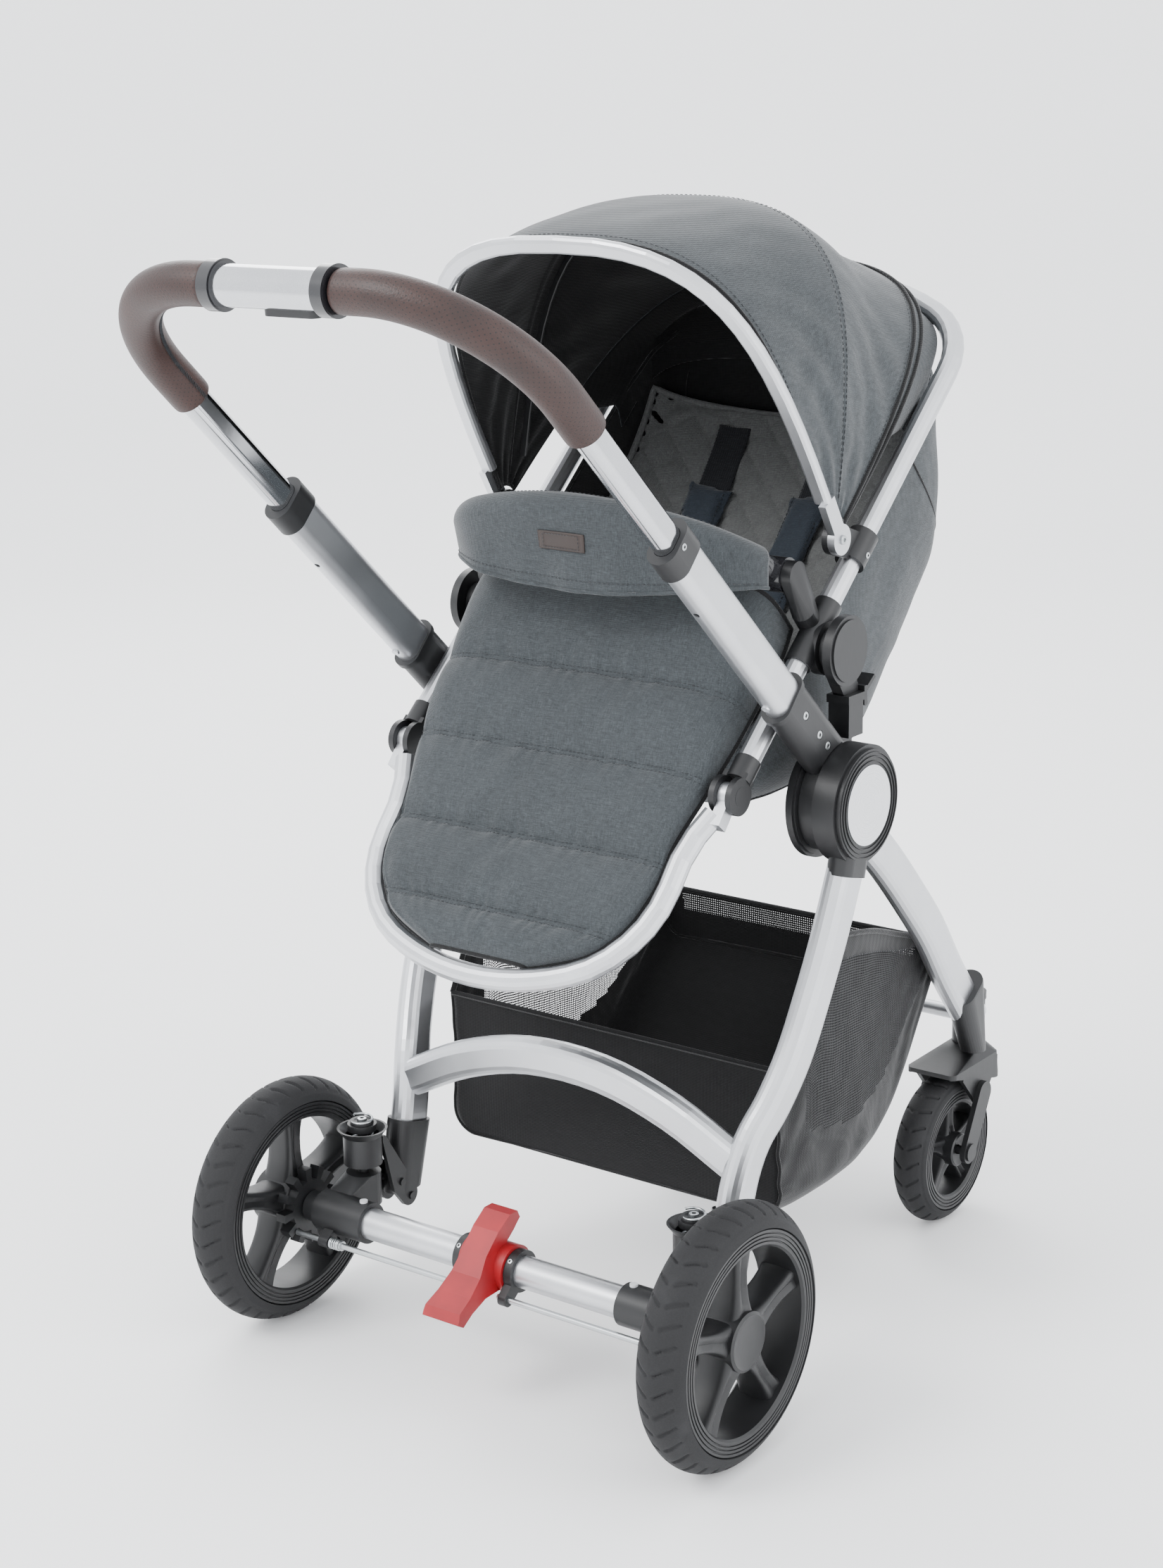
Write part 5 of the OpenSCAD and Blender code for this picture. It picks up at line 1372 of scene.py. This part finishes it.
@dataclass
class Grips:
    """Two padded grips round the handle's bends, with perforated leatherette and a whip-stitched seam inside."""

    arm: float = 221
    lean_p: float = 23
    start: float = 551
    bar: float = 721
    bend: float = 130
    ring: float = 69
    radius: float = 19

    def path(self, side: int) -> Array:
        """Centre line in the handle's axes: up the arm, round the bend, and along the bar."""
        up = np.linspace(self.start, self.bar - self.bend, 10)[:-1]
        a = np.linspace(0, math.pi / 2, 40)
        x = np.r_[np.full(9, self.arm), self.arm - self.bend + self.bend * np.cos(a), np.linspace(self.arm - self.bend, self.ring + 0.5, 8)[1:]]
        z = np.r_[up, self.bar - self.bend + self.bend * np.sin(a), np.full(7, self.bar)]
        return np.stack([side * x, np.full(len(x), self.lean_p), z], -1)

    def build(self) -> None:
        """Makes a cover with its own map for each grip, a raised seam and its stitches."""
        for side, tag in ((-1, "l"), (1, "r")):
            line = self.path(side)
            p = handle_point(line[:, 0], line[:, 1], line[:, 2])
            ref = handle_point(0, 1, 0) - handle_point(0, 0, 0)
            _, across, top = frames(p, ref)
            a = np.linspace(0, 2 * math.pi, 65)
            d = np.r_[0, np.cumsum(np.linalg.norm(np.diff(p, axis=0), axis=1))]
            r = self.radius * MM * (1 - 0.35 * np.exp(-d / 0.0014)) * (1 - 0.2 * np.exp(-(d[-1] - d) / 0.0014))
            inward = math.pi if side > 0 else 0.0
            seam = 1 - 0.045 * np.exp(-((((a - inward + math.pi) % (2 * math.pi) - math.pi) / 0.05) ** 2))
            grid = p[:, None] + (r[:, None] * seam)[..., None] * (np.cos(a)[None, :, None] * across[:, None] + np.sin(a)[None, :, None] * top[:, None])
            uv = np.stack(np.meshgrid(d, a * self.radius * MM, indexing="ij"), -1)
            ends = [Surface(np.stack([grid[k], np.broadcast_to(p[k], grid[k].shape)])) for k in (0, -1)]
            obj = make_piece(f"grip_cover_{tag}", [Surface(grid, uv=uv), *ends], [SKIN], "handle")
            if side < 0:
                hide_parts("handle_grips")
            direction = math.cos(inward) * across + math.sin(inward) * top
            at = p + direction * (self.radius + 0.1) * MM
            zig = np.linspace(d[1], d[-2], 110)
            c = np.stack([np.interp(zig, d, at[:, k]) for k in range(3)], -1)
            t = np.stack([np.interp(zig, d, unit(np.gradient(p, axis=0))[:, k]) for k in range(3)], -1)
            lean = unit(0.55 * t + ref * 1000)
            along = np.array([-2.6, -2.0, 2.0, 2.6]) * MM
            rr = np.array([0.2, 1, 1, 0.2]) * 0.0005
            s2 = unit(np.cross(lean, t))
            t2 = np.cross(lean, s2)
            b = np.linspace(0, 2 * math.pi, 5, endpoint=False)
            pts = c[:, None, None] + along[None, :, None, None] * lean[:, None, None] + rr[None, :, None, None] * (np.cos(b)[None, None, :, None] * s2[:, None, None] + np.sin(b)[None, None, :, None] * t2[:, None, None])
            make_piece(f"grip_stitching_{tag}", [Threads(pts.reshape(-1, 5, 3), wrap_v=True)], [THREAD], "handle")


@dataclass
class Fasteners:
    """Hex-socket screws and rivets that stand on the frame, one piece for each body."""

    def screw(self, at: Array, axis: Array, radius: float, head: float = 1.6) -> list[Surface]:
        """A domed head with a six-sided recess.

        The recess's outline is its half width over the cosine of the angle from the nearest flat.
        """
        axis = unit(np.asarray(axis, float))
        ref = np.array([0.0, 0, 1]) if abs(axis[2]) < 0.9 else np.array([1.0, 0, 0])
        u = unit(np.cross(axis, ref))
        v = np.cross(axis, u)
        a = np.linspace(0, 2 * math.pi, 48, endpoint=False)
        hexa = radius * 0.42 / np.cos((a % (math.pi / 3)) - math.pi / 6)
        full = np.ones_like(a)
        rows = [(radius * full, -1.0), (radius * full, head * 0.5), (radius * 0.86 * full, head * 0.92), (hexa * 1.08, head), (hexa, head * 0.9), (hexa, head * 0.9 - 1.6), (0.01 * full, head * 0.9 - 1.6)]
        pts = np.stack([(r[:, None] * (np.cos(a)[:, None] * u + np.sin(a)[:, None] * v) + h * axis) for r, h in rows])
        return [Surface((pts + at) * MM, wrap_v=True)]

    def rivet(self, at: Array, axis: Array, radius: float, head: float = 1.5) -> list[Surface]:
        """A low dome."""
        axis = unit(np.asarray(axis, float))
        ref = np.array([0.0, 0, 1]) if abs(axis[2]) < 0.9 else np.array([1.0, 0, 0])
        u = unit(np.cross(axis, ref))
        v = np.cross(axis, u)
        a = np.linspace(0, 2 * math.pi, 32, endpoint=False)
        b = np.linspace(0, math.pi / 2, 7)
        rows = [(radius, -1.0)] + [(radius * math.cos(q) + 0.01, head * math.sin(q)) for q in b]
        pts = np.stack([(r * (np.cos(a)[:, None] * u + np.sin(a)[:, None] * v) + h * axis) for r, h in rows])
        return [Surface((pts + at) * MM, wrap_v=True)]

    def build(self) -> None:
        """Places them on the sockets, hubs, brackets, collars and seat fittings of both sides."""
        base, rear, seat, axle, bow = [], [], [], [], []
        for k in (-1, 1):
            out = (k, 0, 0)
            for a in (64, 84, 118):
                base += self.screw(handle_point(k * 233.8, 23, a) / MM, out, 4.2, 1.3)
            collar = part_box("handle_collars")[1].x * 1000
            base += self.screw(handle_point(k * (collar - 0.3), 23, 392) / MM, out, 3.2, 1.0)
            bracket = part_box("leg_brackets")[1].x * 1000
            for y, z in ((-104, 115), (-118, 135)):
                rear += self.screw(np.array([k * (bracket - 0.4), y, z]), out, 3.6, 1.4)
            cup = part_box("guide_posts")[1].z * 1000
            axle += self.screw(np.array([k * 205, -158, cup - 1.2]), (0, 0, 1), 5.0, 1.6)
            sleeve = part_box("pedal_collars")[1].x * 1000
            axle += self.screw(np.array([k * (sleeve - 4.5), -202 - 14.8, 127 + 14.8]), (0, -1, 1), 2.6, 1.2)
            seat += self.rivet(seat_point(k * 222.0, 0, 0) / MM, out, 9.0, 0.8)
            seat += self.screw(seat_point(k * 209.0, 102, 15) / MM, out, 3.0, 1.0)
            bow += self.screw(seat_point(k * (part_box("canopy_front_bow")[1].x * 1000 - 0.2), 84, 60) / MM, out, 4.6, 1.4)
        groups = [("handle_base", base, "handle_screws"), ("rear_frame", rear, "bracket_screws"), ("rear_axle", axle, "axle_screws"), ("seat", seat, "seat_screws"), ("canopy_bow", bow, "bow_screws")]
        for body, surfaces, name in groups:
            make_piece(name, surfaces, [ZINC], body, sharp=30)
        self.pedal()

    def pedal(self) -> None:
        """Raised wavy ridges on the brake pedal's toe plate."""
        ridges = []
        for k in range(3):
            x = np.linspace(-15, 15, 40)
            y = -202 - 50 - k * 8
            z = 127 - 8.2 - k * 4.4 + 1.2
            p = np.stack([x, y + 1.4 * np.sin(x / 3.2), np.full(40, z)], -1) * MM
            ridges.append(tube(p, 0.0011, 8))
        make_piece("pedal_ridges", ridges, [RED], "brake_pedal")


@dataclass
class HubRings:
    """Ground-down rings on the folding hubs' drums: raised black ribs round the outer disc."""

    def build(self) -> None:
        """Makes three thin ribs on each outer hub."""
        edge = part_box("hub_covers")[1].x * 1000
        surfaces = []
        for k in (-1, 1):
            for r in (42.5, 47.0, 51.0):
                profile = [(r - 0.7, k * (edge - 1.0)), (r - 0.4, k * (edge + 0.5)), (r + 0.4, k * (edge + 0.5)), (r + 0.7, k * (edge - 1.0))]
                surfaces.append(turned(profile, (0, 54, 570), 96, loop=True))
        make_piece("hub_ribs", surfaces, [NYLON], "rear_frame")


# ---------------------------------------------------------------- studio


@dataclass
class Studio:
    """Pale floor, soft lights and the camera."""

    place: tuple[float, float, float] = (1.52603, -2.09013, 1.26082)
    back: tuple[float, float, float] = (0.5784, -0.7732, 0.26)
    roll: float = -0.76
    lens: float = 62.25

    def floor(self) -> None:
        """A wide plain floor that curves up into a backdrop behind the stroller."""
        u = np.linspace(-6, 6, 3)
        t = np.linspace(0, 1, 60)
        turn = np.clip((t - 0.45) / 0.25, 0, 1) * math.pi / 2
        run = np.minimum(t / 0.45, 1) * 9 - 5 + 1.6 * np.sin(turn)
        rise = 1.6 * (1 - np.cos(turn)) + np.maximum(t - 0.7, 0) / 0.3 * 5
        away = np.array([-self.back[0], -self.back[1]]) / math.hypot(self.back[0], self.back[1])
        side = np.array([away[1], -away[0]])
        xy = run[:, None, None] * away + u[None, :, None] * side
        pts = np.concatenate([xy, np.broadcast_to(rise[:, None, None], (60, 3, 1))], -1)
        g = Graph("studio_floor_finish")
        n = g.noise(g.coords((1, 1, 1)), 3, 2)
        g.colour(g.ramp(n, [(0.3, (0.97, 0.97, 0.97)), (0.7, (0.98, 0.98, 0.98))]))
        g.plain(Roughness=0.75)
        mesh = bpy.data.meshes.new("studio_floor")
        s = Surface(pts)
        mesh.from_pydata(s.points.reshape(-1, 3).tolist(), [], s.quads().tolist())
        mesh.polygons.foreach_set("use_smooth", np.ones(len(mesh.polygons), bool))
        mesh.materials.append(g.mat)
        obj = bpy.data.objects.new("studio_floor", mesh)
        bpy.context.scene.collection.objects.link(obj)
        obj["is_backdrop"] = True

    def light(self, name: str, at: tuple[float, float, float], power: float, size: float) -> None:
        """A square soft light that looks at the stroller's middle."""
        data = bpy.data.lights.new(name, "AREA")
        data.energy, data.size = power, size
        obj = bpy.data.objects.new(name, data)
        b = unit(np.asarray(at) - np.array([0, 0, 0.55]))
        r = unit(np.cross([0, 0, 1.0], b))
        up = np.cross(b, r)
        obj.matrix_world = Matrix([(r[k], up[k], b[k], at[k]) for k in range(3)] + [(0, 0, 0, 1)])
        bpy.context.scene.collection.objects.link(obj)

    def build(self) -> None:
        """Makes the floor, lights, sky light and camera."""
        self.floor()
        self.light("key_light", (-1.2, -2.9, 3.3), 120, 1.6)
        self.light("fill_light", (3.4, 0.2, 1.8), 55, 2.4)
        self.light("rim_light", (-2.6, 2.2, 2.8), 70, 2.0)
        self.light("top_light", (0.0, 0.0, 3.8), 40, 3.0)
        world = bpy.data.worlds.new("studio_air")
        world.use_nodes = True
        world.node_tree.nodes["Background"].inputs["Color"].default_value = (0.95, 0.97, 1.0, 1)
        world.node_tree.nodes["Background"].inputs["Strength"].default_value = 2.3
        bpy.context.scene.world = world
        b = unit(np.asarray(self.back))
        r0 = unit(np.cross([0, 0, 1.0], b))
        u0 = np.cross(b, r0)
        c, s = math.cos(math.radians(self.roll)), math.sin(math.radians(self.roll))
        r, u = c * r0 + s * u0, -s * r0 + c * u0
        data = bpy.data.cameras.new("camera")
        data.lens, data.sensor_width, data.sensor_fit = self.lens, 36, "AUTO"
        data.clip_start, data.clip_end = 0.05, 60
        cam = bpy.data.objects.new("camera", data)
        cam.matrix_world = Matrix([(r[k], u[k], b[k], self.place[k]) for k in range(3)] + [(0, 0, 0, 1)])
        bpy.context.scene.collection.objects.link(cam)
        bpy.context.scene.camera = cam


def dress_nodes(frame: dict) -> None:
    """Gives every carried-over CAD node the finish of its slot in the record.

    Args:
        frame: What import_model() returned.
    """
    finishes = {s.value[0]: s.value[1] for s in Slot}
    own = {"hub_pins": ZINC, "handle_button": NYLON}
    for part in frame["record"]["subparts"]:
        node = frame["nodes"][part["node"]]
        finish = own.get(part["node"]) or finishes[part["material_slot"]]
        node.data.materials.clear()
        node.data.materials.append(finish.material())


def corners() -> list[list[float]]:
    """The shown object's box as plain lists."""
    return [list(v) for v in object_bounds()]


def main() -> None:
    logging.basicConfig(level=logging.INFO, format="%(name)s: %(message)s")
    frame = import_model()
    Studio().build()
    dress_nodes(frame)
    for maker in (Canopy(), SeatBag(), Liner(), Apron(), Flap(), Basket(), Springs(), Grips(), Fasteners(), HubRings()):
        LOG.info("building %s", type(maker).__name__)
        maker.build()
    for k, tag in ((-1, "l"), (1, "r")):
        rear = Wheel(f"rear_wheel_{tag}", (k * 273, -202, 127), 127, 54, 0.84, k, 23, f"rear_wheel_{tag}", ring=-34.5)
        front = Wheel(f"front_wheel_{tag}", (k * 162, 392, 84.5), 84.5, 42, 0.82, k, 24, f"front_wheel_{tag}")
        for wheel in (rear, front):
            wheel.tyre()
            wheel.rim()


if __name__ == "__main__":
    main()
